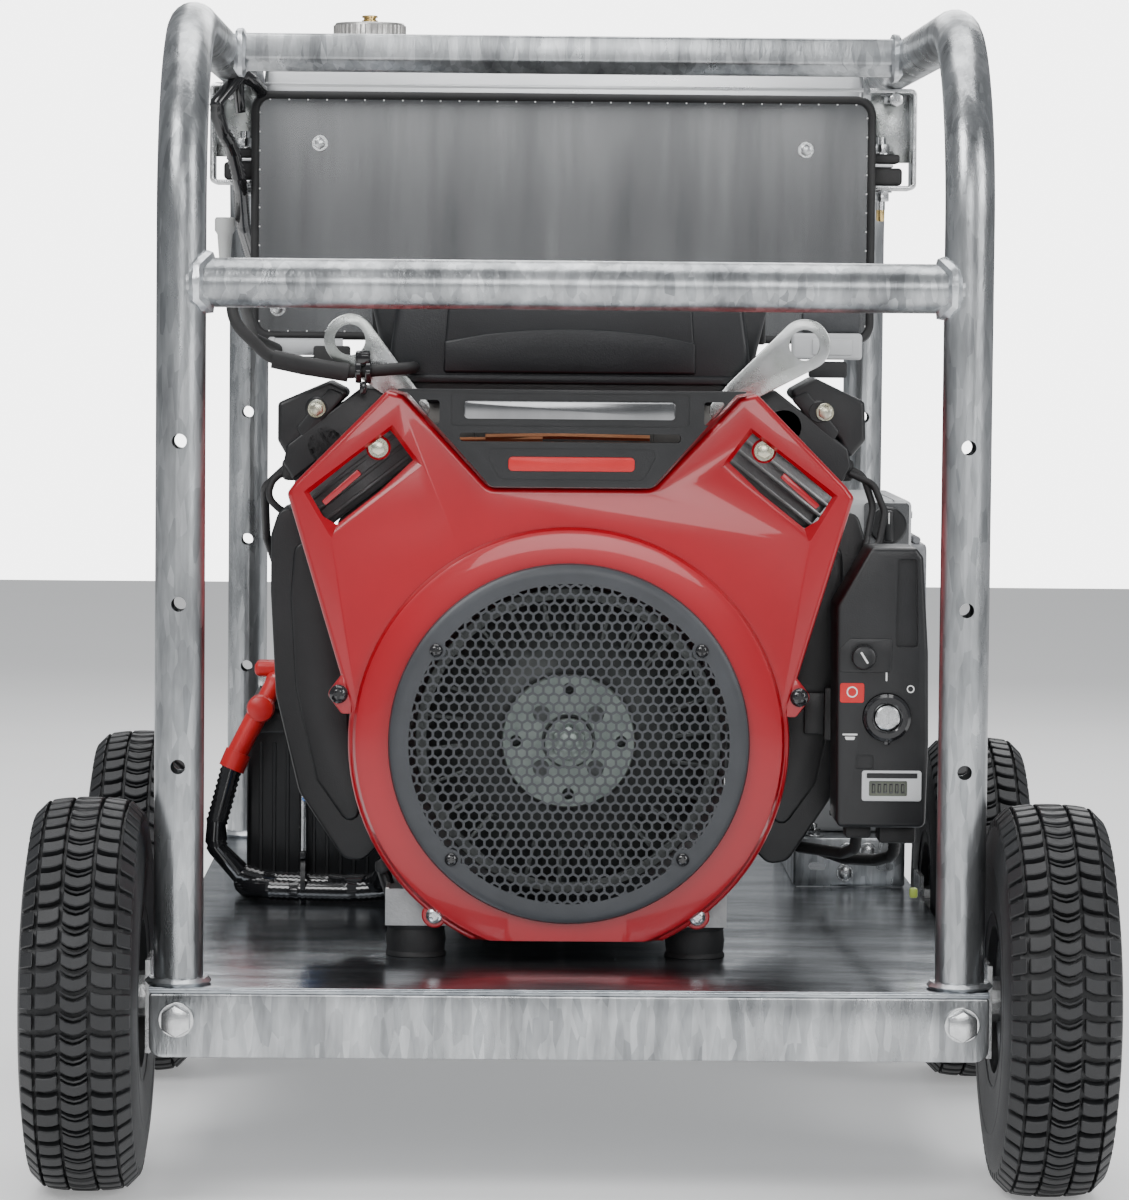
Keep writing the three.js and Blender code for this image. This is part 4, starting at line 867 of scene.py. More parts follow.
def make_grille():
    pitch, radius, plane = 7.3, 114.5, 99
    row = pitch * 0.866
    bpy.ops.object.select_all(action="DESELECT")
    turn = (math.pi / 2, 0, 0)
    bpy.ops.mesh.primitive_circle_add(vertices=6, radius=pitch / math.sqrt(3) / 1000, fill_type="NGON",
                                      location=place(-17 * pitch, plane, CRANK_Z - 18 * row), rotation=turn)
    cell = bpy.context.active_object
    bpy.ops.object.transform_apply(location=True, rotation=True, scale=True)
    bpy.ops.object.mode_set(mode="EDIT")
    bpy.ops.mesh.select_all(action="SELECT")
    bpy.ops.mesh.inset(thickness=0.00085)
    bpy.ops.mesh.delete(type="FACE")
    bpy.ops.object.mode_set(mode="OBJECT")
    row_copies(cell, 2, (pitch / 2, 0, row))
    row_copies(cell, 35, (pitch, 0, 0))
    row_copies(cell, 19, (0, 0, 2 * row))
    only(cell)
    centre = place(0, plane, CRANK_Z)
    bpy.ops.object.mode_set(mode="EDIT")
    bpy.ops.mesh.select_all(action="SELECT")
    bpy.ops.mesh.remove_doubles(threshold=0.0001)
    bpy.ops.mesh.select_all(action="DESELECT")
    bpy.ops.object.mode_set(mode="OBJECT")
    for polygon in cell.data.polygons:
        polygon.select = (polygon.center - centre).length > radius / 1000 + 0.001
    bpy.ops.object.mode_set(mode="EDIT")
    bpy.ops.mesh.delete(type="FACE")
    bpy.ops.mesh.select_all(action="SELECT")
    bpy.ops.mesh.normals_make_consistent(inside=False)
    bpy.ops.object.mode_set(mode="OBJECT")
    thickened(cell, 0.0016, 0)
    rim = spun([(112, 98.2), (115, 97.9), (118, 97.7), (122.5, 97.7), (125.2, 99.2), (126.2, 101.6),
                (126, 104.7), (118, 104.7), (116.5, 101.5), (112, 100.2)], CRANK, "Y", 96)
    lands = [disc(7, 98.1, 2, (x, 0, z), "Y", 0.3, 24)
             for x, z in ((-93, 365), (92, 366), (-81.5, 219), (80, 220))]
    made(smooth(joined(cell, rim, *lands), 35), "grille_mesh", mesh_grey, ["fan_grille"])


def make_fan():
    hub = spun([(17.3, 127), (33, 127), (34, 128), (47, 129), (48, 130.5), (48, 134), (50, 136), (96, 150),
                (108, 158), (108, 164), (96, 163), (17.3, 163)], CRANK, "Y", 72)
    drills = ring_copies(disc(4.2, 120, 20, (0, 0, CRANK_Z + 37), "Y", 0.2, 18), 4, CRANK)
    hub = smooth(combine(hub, drills), 30)
    blade = block(-1.6, 1.6, 128, 158, CRANK_Z + 74, CRANK_Z + 105, 0.6, 1)
    turned(blade, math.radians(22), "Z", (0, 143, CRANK_Z + 90))
    blades = ring_copies(blade, 26, CRANK)
    rim = spun([(100, 127.5), (107, 127.5), (108, 128.5), (108, 131), (100, 131)], CRANK, "Y", 72)
    made(joined(hub, blades, rim), "fan_wheel", fan_cast, ["flywheel_fan"], body="engine_rotor")
    plate_ring = spun([(19, 124.6), (46, 124.6), (47, 125.4), (47, 126.8), (19, 126.8)], CRANK, "Y", 64)
    holes = disc(4.2, 115, 20, (0, 0, CRANK_Z + 37), "Y", 0.2, 18)
    slot = disc(6, 115, 20, (0, 0, CRANK_Z + 27), "Y", 0.2, 18)
    turned(slot, math.radians(45), "Y", CRANK)
    plate_ring = combine(plate_ring, ring_copies(joined(holes, slot), 4, CRANK))
    made(smooth(plate_ring, 30), "fan_hub_plate", hub_steel, body="engine_rotor")
    bolt = joined(hex_bolt((0, 117, CRANK_Z), "Y", -1, 22, 8, 17, 3), *[
        disc(1.6, 107, 3, (math.cos(t) * 6.5, 0, CRANK_Z + math.sin(t) * 6.5), "Y", 0.2, 10)
        for t in (0.5, 1.55, 2.6, 3.6, 4.7, 5.8)])
    made(bolt, "fan_bolt", hub_steel, slot="machined_steel", body="engine_rotor")


# ---------------------------------------------------------------- black covers round the engine
def make_name_panel():
    z = CRANK_Z
    outline = [(56, z + 179), (114, z + 244), (127, z + 246.5), (-127, z + 246.5), (-114, z + 244),
               (-56, z + 179)]
    panel = plate(rounded_outline(outline, [6, 3, 2, 2, 3, 6]), 103, 14, "Y", 1.6, 3)
    slot = plate(rectangle(-78, 76, z + 210.4, z + 216.4, 2.6), 95, 30, "Y")
    panel = combine(panel, slot)
    dish = plate(rounded_outline([(-50, z + 184), (50, z + 184), (62, z + 206), (-62, z + 206)], 5), 100, 4,
                 "Y")
    panel = combine(panel, dish)
    upper = plate(rounded_outline([(-84, z + 221), (82, z + 221), (82, z + 244), (-84, z + 244)], 3), 100,
                  4.2, "Y")
    panel = combine(panel, upper)
    for sign in (-1, 1):
        window = sided([(92, z + 219), (92, z + 239), (108, z + 239), (104, z + 233)], sign)
        panel = combine(panel, plate(rounded_outline(window, 2), 95, 30, "Y"))
    made(smooth(panel, 35), "name_panel_moulding", satin_black, ["name_panel"])
    bar = plate(rectangle(-75, 72, z + 226, z + 239, 3), 102.6, 2.4, "Y", 0.8)
    made(bar, "name_panel_badge", stainless)
    low = plate(rectangle(-44, 44, z + 190, z + 200, 3), 102.9, 2.2, "Y", 0.7)
    made(low, "name_panel_lower_badge", red_plastic)
    behind = joined(tube([(-60, 124, z + 213), (-10, 127, z + 214), (55, 124, z + 213)], 2.4, 8, 10),
                    tube([(-78, 126, z + 211), (-20, 124, z + 212)], 1.8, 8, 10))
    made(behind, "panel_wires", copper)


def make_air_cleaner():
    base = [(-131, 551), (131, 551), (128, 578), (124, 606), (119, 627), (104, 633), (-104, 633), (-119, 627),
            (-124, 606), (-128, 578)]
    cover = plate(rounded_outline(base, [4, 4, 8, 10, 8, 10, 10, 8, 10, 8]), 217, 184, "Y", 6, 4)
    wing = [(118, 560), (134, 566), (143, 606), (133, 627), (112, 630)]
    wings = [plate(rounded_outline(sided(wing, sign), [4, 6, 10, 8, 4]), 236, 150, "Y", 5, 3)
             for sign in (-1, 1)]
    middle = plate(rounded_outline([(-91, 556), (91, 556), (88, 600), (84, 629), (-84, 629), (-88, 600)],
                                   [3, 3, 20, 8, 8, 20]), 215.2, 6, "Y", 2.2, 3)
    crease = [(-90, 557), (90, 557), (90, 579), (60, 584.5), (30, 587.4), (0, 588.4), (-30, 587.4),
              (-60, 584.5), (-90, 579)]
    apron = plate(crease, 214.0, 5, "Y", 1.4, 3)
    lip = plate(rounded_outline([(-131, 549.5), (131, 549.5), (131, 555), (-131, 555)], 2), 214.2, 60, "Y", 1)
    crown_rib = plate(rectangle(-60, 60, 240, 380, 12), 628, 4.9, "Z", 1.8, 3)
    whole = joined(cover, *wings, middle, apron, lip, crown_rib)
    made(smooth(whole, 32), "air_cleaner_shell", cover_black, ["air_cleaner_cover"])
    clips = [block(sign * 139 - 4, sign * 139 + 4, 262, 290, 578, 618, 2) for sign in (-1, 1)]
    duct = block(-124, 124, 222, 380, 534, 556, 4, 3)
    made(joined(*clips, duct), "air_cleaner_duct", satin_black)


def lean_place(piece, sign):
    """Turns an upright piece about the crank to where its cylinder leans."""
    return turned(piece, sign * LEAN, "Y", CRANK)


def make_cylinders():
    for side, sign in SIDES:
        y = 212.3 + (BANK_STEP if sign > 0 else 0)
        base = CRANK_Z + 112
        barrel = block(-42, 42, y + 6, y + 104, base, base + 108, 6, 3)
        fin = block(-50, 50, y + 0.4, y + 109.6, base + 6, base + 8.6, 0.8, 2)
        fins = row_copies(fin, 11, (0, 0, 9))
        head = block(-48, 48, y + 3, y + 107, base + 108, base + 150, 5, 3)
        head_fin = block(-50, 50, y + 0.4, y + 109.6, base + 112, base + 115, 0.8, 2)
        head_fins = row_copies(head_fin, 4, (0, 0, 9))
        bolts = [hex_bolt((x, y + dy, base + 150), "Z", -1, 12, 10, 0) for x in (-38, 38) for dy in (14, 96)]
        whole = joined(barrel, fins, head, head_fins, *bolts)
        made(lean_place(whole, sign), f"{side}_cylinder_fins", cast, [f"{side}_cylinder"])

        top = base + 150.3
        cover = plate(rounded_outline([(-46, top), (46, top), (44, top + 14), (34, top + 23),
                                       (-34, top + 23), (-44, top + 14)], [2, 2, 5, 5, 5, 5]), y, 110, "Y",
                      3, 3)
        boss = spun([(0, y), (12.5, y), (13.5, y + 2), (13.5, y + 30), (0, y + 30)], (-12, 0, top + 6), "Y",
                    32)
        boss = joined(boss, block(10, 30, y + 0.2, y + 40, top + 2, top + 21, 3, 2))
        ribs = row_copies(block(-30, 30, y + 24, y + 27, top + 20, top + 22.9, 0.8), 5, (0, 15, 0))
        made(lean_place(joined(cover, boss, ribs), sign), f"{side}_head_cover", satin_black,
             [f"{side}_rocker_cover"])


def make_coil_covers():
    outlines = {"left": ([(-209, 534), (-172, 550), (-156, 542), (-193, 507), (-200, 491.5), (-209, 507)],
                         214), "right": ([(214, 537.6), (177.5, 555), (158, 544), (196, 510), (202, 494),
                                          (215, 510)], 239)}
    for side, sign in SIDES:
        outline, y = outlines[side]
        body = plate(rounded_outline(outline, 4), y, 64, "Y", 3, 3)
        boss = disc(8.5, y - 2, 12, (sign * 181, 0, 530), "Y", 1.2, 28)
        slope = sided([(160, 540), (172, 545), (196, 516), (190, 506)], sign)
        shoulder = plate(rounded_outline(slope, 3), y - 1.6, 8, "Y", 1.4)
        ribs = [block(*sorted((sign * 200, sign * 208.6)), y + 8 + i * 9, y + 10 + i * 9, 509, 533, 0.6, 1)
                for i in range(5)]
        made(joined(body, boss, shoulder, *ribs), f"{side}_coil_cover", satin_black)


def hull_link(x0, z0, r0, x1, z1, r1, steps=14):
    """The outline of a strap between two rounds."""
    span = math.hypot(x1 - x0, z1 - z0)
    way = math.degrees(math.atan2(z1 - z0, x1 - x0))
    tilt = math.degrees(math.acos((r0 - r1) / span))
    big = arc(x0, z0, r0, way + tilt, way + 360 - tilt, steps * 2)
    small = arc(x1, z1, r1, way - tilt, way + tilt, steps)
    return [*big, *small]


def make_lifting_eyes():
    for (side, sign), x, z in zip(SIDES, (-157.5, 168), (579.5, 578.5)):
        foot_x, foot_z = sign * 122, 545
        eye = plate(hull_link(x, z, 18.5, foot_x, foot_z, 10), 206, 6, "Y", 0.9)
        drill = disc(11, 190, 40, (x, 0, z), "Y", 0.1, 40)
        eye = combine(eye, drill)
        tail = plate(hull_link(foot_x, foot_z, 10, foot_x - sign * 14, foot_z - 14, 8), 206.1, 5.8, "Y", 0.8)
        boss = disc(9, 211, 22, (foot_x, 0, foot_z - 2), "Y", 0.8, 24)
        made(smooth(joined(eye, tail, boss), 35), f"{side}_eye_plate", eye_zinc, [f"{side}_lifting_eye"])


def make_side_shrouds():
    for side, sign in SIDES:
        outline = [(118, 350), (118, 232), (146, 205), (160, 207), (192, 255), (209, 325), (213, 398),
                   (213, 440), (206, 462), (186, 452)]
        outline = sided(outline, sign)
        shell = plate(rounded_outline(outline, [2, 4, 10, 12, 20, 30, 20, 12, 8, 4], 5), 205.3, 84, "Y", 9, 4)
        inside = [(121, 350), (121, 236), (148, 210), (158, 212), (188, 257), (205, 326), (209, 398),
                  (209, 438), (188, 448)]
        room = plate(rounded_outline(sided(inside, sign), 4), 210, 90, "Y")
        shell = combine(shell, room)
        facet = [(150, 222), (180, 264), (195, 330), (199, 396), (196, 438), (176, 430), (160, 404),
                 (156, 300), (146, 260)]
        raised = plate(rounded_outline(sided(facet, sign), 8), 203.6, 5, "Y", 2.2, 3)
        made(smooth(joined(shell, raised), 35), f"{side}_shroud_cover", satin_black, [f"{side}_side_shroud"])


# ---------------------------------------------------------------- controls
KEY_SPOT = (223.5, 0, 318.5)
CHOKE_SPOT = (206.5, 0, 361)
DIGIT_PLACES = (213.5, 217.6, 221.7, 225.8, 229.9, 234)


def make_controls():
    face = 125
    outline = [(189, 240.4), (251.5, 240.4), (253.2, 300), (252.2, 364), (248, 431), (243, 437.6),
               (211, 437.6), (200, 418), (187.6, 396)]
    body = plate(rounded_outline(outline, [5, 5, 0, 0, 4, 4, 5, 8, 6]), face, 66, "Y", 3, 3)
    recess = plate(rounded_outline([(229, 368), (245, 368), (243.5, 430), (230, 430)], 2.5), 120, 9, "Y")
    body = combine(body, recess)
    well = disc(17.2, 120, 8.5, KEY_SPOT, "Y", 0.1, 40)
    body = combine(body, well)
    small = plate(rectangle(202, 214.5, 281.8, 292, 1.5), 120, 7, "Y")
    body = combine(body, small)
    bores = joined(disc(4.6, 110, 60, CHOKE_SPOT, "Y", 0.1, 20), disc(9.5, 110, 50, KEY_SPOT, "Y", 0.1, 28))
    body = combine(body, bores)
    ledge = plate(rounded_outline([(190, 350), (226, 350), (227, 374), (197, 374), (190, 366)], 3), 124.3, 2,
                  "Y", 0.6)
    ledge = combine(ledge, disc(9.3, 110, 40, CHOKE_SPOT, "Y", 0.1, 32))
    seam = plate(rectangle(188.6, 252.6, 242, 246, 1), 190.5, 2.4, "Y", 0.6)
    made(smooth(joined(body, ledge, seam), 35), "control_box_case", satin_black, ["control_box"])

    bezel = spun([(9.6, 127), (9.6, 119.6), (11, 118.6), (14.5, 118.6), (16.6, 120.4), (16.9, 127)],
                 KEY_SPOT, "Y", 48)
    tab = block(221.4, 225.6, 119.5, 127, 299.5, 304, 0.8)
    made(joined(bezel, tab), "key_bezel", gloss_black)
    key = spun([(0, 117.9), (7.6, 117.9), (8.6, 118.6), (9.0, 119.8), (9.0, 143.5), (0, 143.8)], KEY_SPOT,
               "Y", 40)
    key = combine(key, plate(rectangle(222.4, 224.6, 313.8, 323.2, 0.4), 116, 5, "Y"))
    made(smooth(key, 35), "key_barrel", zinc_bolt, ["key_switch"], body="key")

    knob = spun([(0, 114.2), (6.4, 114.2), (7.8, 114.9), (8.4, 116.2), (8.4, 122.6), (7.4, 123.9),
                 (4, 123.9), (4, 160.8), (0, 160.8)], CHOKE_SPOT, "Y", 40)
    grips = ring_copies(block(206.1, 206.9, 115.4, 123, 369.0, 369.45, 0.1, 1), 30, CHOKE_SPOT)
    made(joined(knob, grips), "choke_pull_knob", satin_black, ["choke_knob"], body="choke")
    mark = plate(rectangle(205.8, 207.2, 356.4, 365.6, 0.5), 113.9, 0.5, "Y")
    turned(mark, math.radians(-32), "Y", (206.5, 114, 361))
    made(mark, "choke_mark", mark_white, body="choke")

    patch = plate(rectangle(190.4, 207.4, 328.6, 342.4, 1.6), 124.6, 0.8, "Y", 0.2, 1)
    made(patch, "off_patch", red_plastic)
    marks = [spun([(3, 124.3), (3.9, 124.3), (3.9, 124.8), (3, 124.8)], (198.9, 0, 336.2), "Y", 28),
             plate(rectangle(222.4, 223.5, 344, 351, 0.4), 124.7, 0.5, "Y"),
             spun([(1.9, 124.7), (2.7, 124.7), (2.7, 125.2), (1.9, 125.2)], (240, 0, 338.5), "Y", 24),
             plate(rectangle(192.5, 203, 305.6, 306.8, 0.4), 124.7, 0.5, "Y"),
             plate(rounded_outline([(195, 302.4), (200.6, 302.4), (201.6, 304.6), (194, 304.6)], 0.4), 124.7,
                   0.5, "Y")]
    made(joined(*marks), "control_marks", mark_white)
    rim = plate(rectangle(206.4, 248.4, 259.4, 281, 2), 123.2, 3.2, "Y", 0.8)
    rim = combine(rim, plate(rectangle(211.4, 238.4, 263, 273.8, 1), 120, 6, "Y"))
    rim = combine(rim, plate(rectangle(209.4, 246, 275.2, 279.4, 1), 120, 4, "Y"))
    made(smooth(rim, 35), "hour_meter_rim", light_plastic)
    made(plate(rectangle(209.8, 245.6, 275.4, 279.2, 0.8), 123.9, 1, "Y", 0.2, 1), "hour_meter_band",
         satin_black)
    made(plate(rectangle(211, 239, 262.6, 274.4, 1), 124.6, 1.2, "Y", 0.2, 1), "hour_meter_glass", lcd)
    digits = [combine(plate(rectangle(x, x + 2.6, 265, 271.8, 0.3), 124.35, 0.3, "Y"),
                      plate(rectangle(x + 0.7, x + 1.9, 266, 270.8, 0.2), 124, 1, "Y")) for x in DIGIT_PLACES]
    made(joined(*digits), "hour_meter_digits", gloss_black)
    below = [block(196, 214, 134, 160, 232, 241.5, 2), block(220, 246, 138, 170, 228, 241.5, 2.5)]
    below.append(tube([(205, 148, 234), (205, 160, 222), (200, 200, 214), (170, 240, 214)], 4.2, 12, 12))
    below.append(tube([(233, 154, 231), (233, 170, 216), (226, 230, 206), (214, 380, 190), (208, 560, 176)],
                      4.6, 16, 12, ribs=2.4))
    made(joined(*below), "control_leads", rubber)
    made(block(243.5, 249, 148, 156, 188, 195, 1.4), "lead_tag", green_bit)
    arm = joined(block(170, 188.4, 196.5, 200, 300, 330, 1), block(184, 240, 192, 196, 296, 334, 1))
    made(arm, "control_bracket", satin_black)


# ---------------------------------------------------------------- engine details
MOUNT_X = (-106.5, 91.5)


def make_engine_details():
    bumpers = []
    for name, x in zip(("front_left_mount", "front_right_mount"), MOUNT_X):
        low = DECK + 0.3
        profile = [(0, low), (21.4, low), (21.4, low + 1.4), (20.2, low + 3.4), (21.2, low + 11),
                   (20.2, low + 19.2), (21.4, low + 21.1), (21.4, low + 22.4), (0, low + 22.4)]
        made(spun(profile, (x, 158, 0), "Z", 40), f"{name}_rubber", rubber, [name])
        bumpers.append(hex_bolt((x, 158, 193.8), "Z", 1, 17, 9, 11, 2, 6))
        bumpers.append(hex_bolt((x, 158, DECK - 4.2), "Z", -1, 15, 7, 10, 2, 4))
    made(joined(*bumpers), "mount_nuts", zinc_bolt)
    pad = block(-114.8, 114.8, 675.2, 724.8, DECK + 0.4, DECK + 22.6, 2.5, 3)
    grooves = [block(x - 1.6, x + 1.6, 660, 740, DECK + 19, DECK + 30, 0) for x in (-70, -35, 0, 35, 70)]
    made(smooth(combine(pad, joined(*grooves)), 35), "alternator_pad_rubber", rubber, ["alternator_pad"])

    faces = []
    for x in MOUNT_X:
        for dx in (-21.5, 18.5):
            faces.append(block(x + dx, x + dx + 3, 137, 211, 168, 194.5, 0.8))
    ribs = row_copies(block(-1.5, 1.5, 216, 426, 190, 195.4, 0.8), 5, (40, 0, 0))
    ribs.data.transform(Matrix.Translation((-0.08, 0, 0)))
    sump = joined(block(-118, -111, 230, 300, 200, 230, 2),
                  hex_bolt((-112, 262, 212), "X", -1, 14, 8, 10, 2, 0))
    made(joined(*faces, ribs, sump), "block_ribs", silver_cast)
    drain = joined(tube([(-132, 176, 207), (-124, 170, 184)], 5, 4, 16),
                   hex_bolt((-131, 170, 206), "Y", -1, 10, 5, 0))
    made(drain, "oil_drain", satin_black)

    z = CRANK_Z - 34
    filter_axis = (0, 323.5, z)
    shell = spun([(0, -196.2), (17, -196), (25, -194), (29, -189), (29.8, -182), (29.8, -128), (27.5, -124),
                  (29.6, -122), (29.6, -120.5), (0, -120.5)], filter_axis, "X", 60)
    flutes = ring_copies(block(-194, -180, 322.6, 324.4, z + 26.8, z + 29.9, 0.6, 1), 15, filter_axis, "X")
    made(joined(shell, flutes), "oil_filter_can", blue, ["oil_filter"])
    seal = spun([(0, -120.4), (27, -120.4), (28.4, -118.8), (27, -117), (0, -117)], filter_axis, "X", 40)
    made(seal, "oil_filter_seal", rubber)

    leads = []
    for path in ([(-196, 225, 487), (-212, 222, 480), (-217, 220, 466), (-204, 222, 454), (-188, 232, 458)],
                 [(204, 240, 486), (221, 236, 478), (229, 232, 458), (224, 220, 437), (218, 200, 430)],
                 [(196, 246, 490), (213, 240, 486), (221, 238, 462), (215, 215, 440), (212, 190, 434)]):
        leads.append(tube(path, 2.6, 12, 12))
    leads.append(tube([(-190, 262, 500), (-222, 300, 470), (-224, 380, 430), (-210, 440, 380),
                       (-160, 470, 330)], 3.2, 20, 12))
    boots = [block(-206, -190, 216, 240, 478, 494, 4, 3), block(190, 207, 240, 262, 480, 496, 4, 3)]
    made(joined(*leads, *boots), "plug_leads", rubber)
    bolts = [hex_bolt((-181, 211.8, 530), "Y", -1, 9, 4.5, 6.5, 1.4),
             hex_bolt((185, 236.5, 530), "Y", -1, 9, 4.5, 6.5, 1.4)]
    made(joined(*bolts), "head_cover_bolts", yellow_zinc)

    hose = tube([(-210, 650, 599.4), (-210, 650, 572), (-220, 606, 566), (-242, 520, 578), (-243, 300, 628),
                 (-243, 215, 634), (-241, 198, 592), (-214, 196, 566), (-160, 195, 556), (-112, 195, 560),
                 (-112, 215.4, 560)], 4.4, 26, 16, steps=10)
    sleeve = tube([(-212, 196, 565.4), (-190, 195.4, 560.8), (-158, 195, 556)], 6.6, 10, 20)
    made(joined(hose, sleeve), "fuel_hose_line", rubber, ["fuel_hose"])
    bands = [spun([(4.2, x), (7.6, x), (8.2, x + 0.8), (8.2, x + 3.4), (7.6, x + 4.2), (4.2, x + 4.2)],
                  (0, 195.2, 556.8), "X", 28) for x in (-153, -146)]
    bands.append(block(-153, -142, 190, 200, 562, 572, 1.6))
    bands.append(block(-150, -145, 191, 199, 541, 550, 1.4))
    made(joined(*bands), "hose_clip", gloss_black)


def make_exhaust():
    z = CRANK_Z + 183
    middle = (0, 505, z)
    shell = spun([(0, -149.8), (44, -149.6), (50, -147.5), (51.5, -143), (55.9, -142), (55.9, -138),
                  (54.6, -136.5), (54.6, 136.5), (55.9, 138), (55.9, 142), (51.5, 143), (50, 147.5),
                  (44, 149.6), (0, 149.8)], middle, "X", 72)
    for x in (-60, 60):
        strap = spun([(54.4, x - 9), (55.9, x - 8.4), (55.9, x + 8.4), (54.4, x + 9)], middle, "X", 64)
        shell = joined(shell, strap)
    louvre = row_copies(block(-104, -92, 470, 540, z + 54, z + 55.8, 0.6), 14, (15.6, 0, 0))
    tail = spun([(11.5, 149), (13.9, 149), (13.9, 180), (13.2, 181.8), (11.6, 181.8), (11.4, 179)], middle,
                "X", 36)
    pipes = []
    for sign in (-1, 1):
        start = 322.9 + (BANK_STEP if sign > 0 else 0)
        x = sign * 118
        pipes.append(tube([(x, start, z - 18), (x, 470, z - 18)], 14.6, 4, 28))
        pipes.append(block(x - 24, x + 24, start, start + 7, z - 34, z - 2, 3))
        for dx in (-18, 18):
            pipes.append(hex_bolt((x + dx, start + 7, z - 18), "Y", 1, 10, 6, 0, 1, 2))
    made(joined(shell, louvre, tail, *pipes), "muffler_can", dark_steel, ["muffler"])


def make_alternator():
    y0, y1 = 430.3, 792.3
    case = spun([(95, y0), (117, y0), (117, y0 + 14), (111, y0 + 20), (111, y1 - 20), (117, y1 - 14),
                 (117, y1), (95, y1)], CRANK, "Y", 96)
    fins = ring_copies(block(-1.6, 1.6, y0 + 16, y1 - 16, CRANK_Z + 109, CRANK_Z + 116.8, 0.8, 1), 44, CRANK)
    foot_z = DECK + 23.1
    web = plate([(-80, foot_z), (80, foot_z), (80, 200), (70, 240), (-70, 240), (-80, 200)], 671, 58, "Y", 3)
    web = combine(web, disc(112, 600, 200, CRANK, "Y", 0.1, 64))
    flange = block(-114.8, 114.8, 670.4, 729.6, foot_z, foot_z + 10, 2.5, 3)
    bolts = [hex_bolt((x, 700, foot_z + 10), "Z", 1, 17, 9, 12, 2, 5) for x in (-98, 98)]
    terminal = block(-52, 52, 520, 640, CRANK_Z + 108, CRANK_Z + 114.5, 3, 3)
    made(smooth(joined(case, fins, web, flange, terminal), 35), "alternator_body", dark_cast,
         ["alternator_case"])
    made(joined(*bolts), "alternator_bolts", zinc_bolt)
    bell = spun([(18.5, 797), (89, 797), (89, 792.8), (112.8, 792.8), (112.8, 826), (110, 836), (96, 847),
                 (88, 850.4), (40, 850.4), (36, 848.6), (18.5, 848.6)], CRANK, "Y", 96)
    slot = plate(rectangle(-4.5, 4.5, CRANK_Z + 48, CRANK_Z + 82, 4), 780, 100, "Y")
    bell = combine(bell, ring_copies(slot, 20, CRANK))
    side_slot = block(-7, 7, 800, 822, CRANK_Z + 100, CRANK_Z + 125, 0)
    bell = combine(bell, ring_copies(side_slot, 16, CRANK))
    ears = [hex_bolt((math.cos(t) * 104, 838.5, CRANK_Z + math.sin(t) * 104), "Y", 1, 8, 5, 0)
            for t in (0.785, 2.356, 3.927, 5.498)]
    made(smooth(joined(bell, *ears), 35), "alternator_bell", dark_cast, ["alternator_end_bell"])


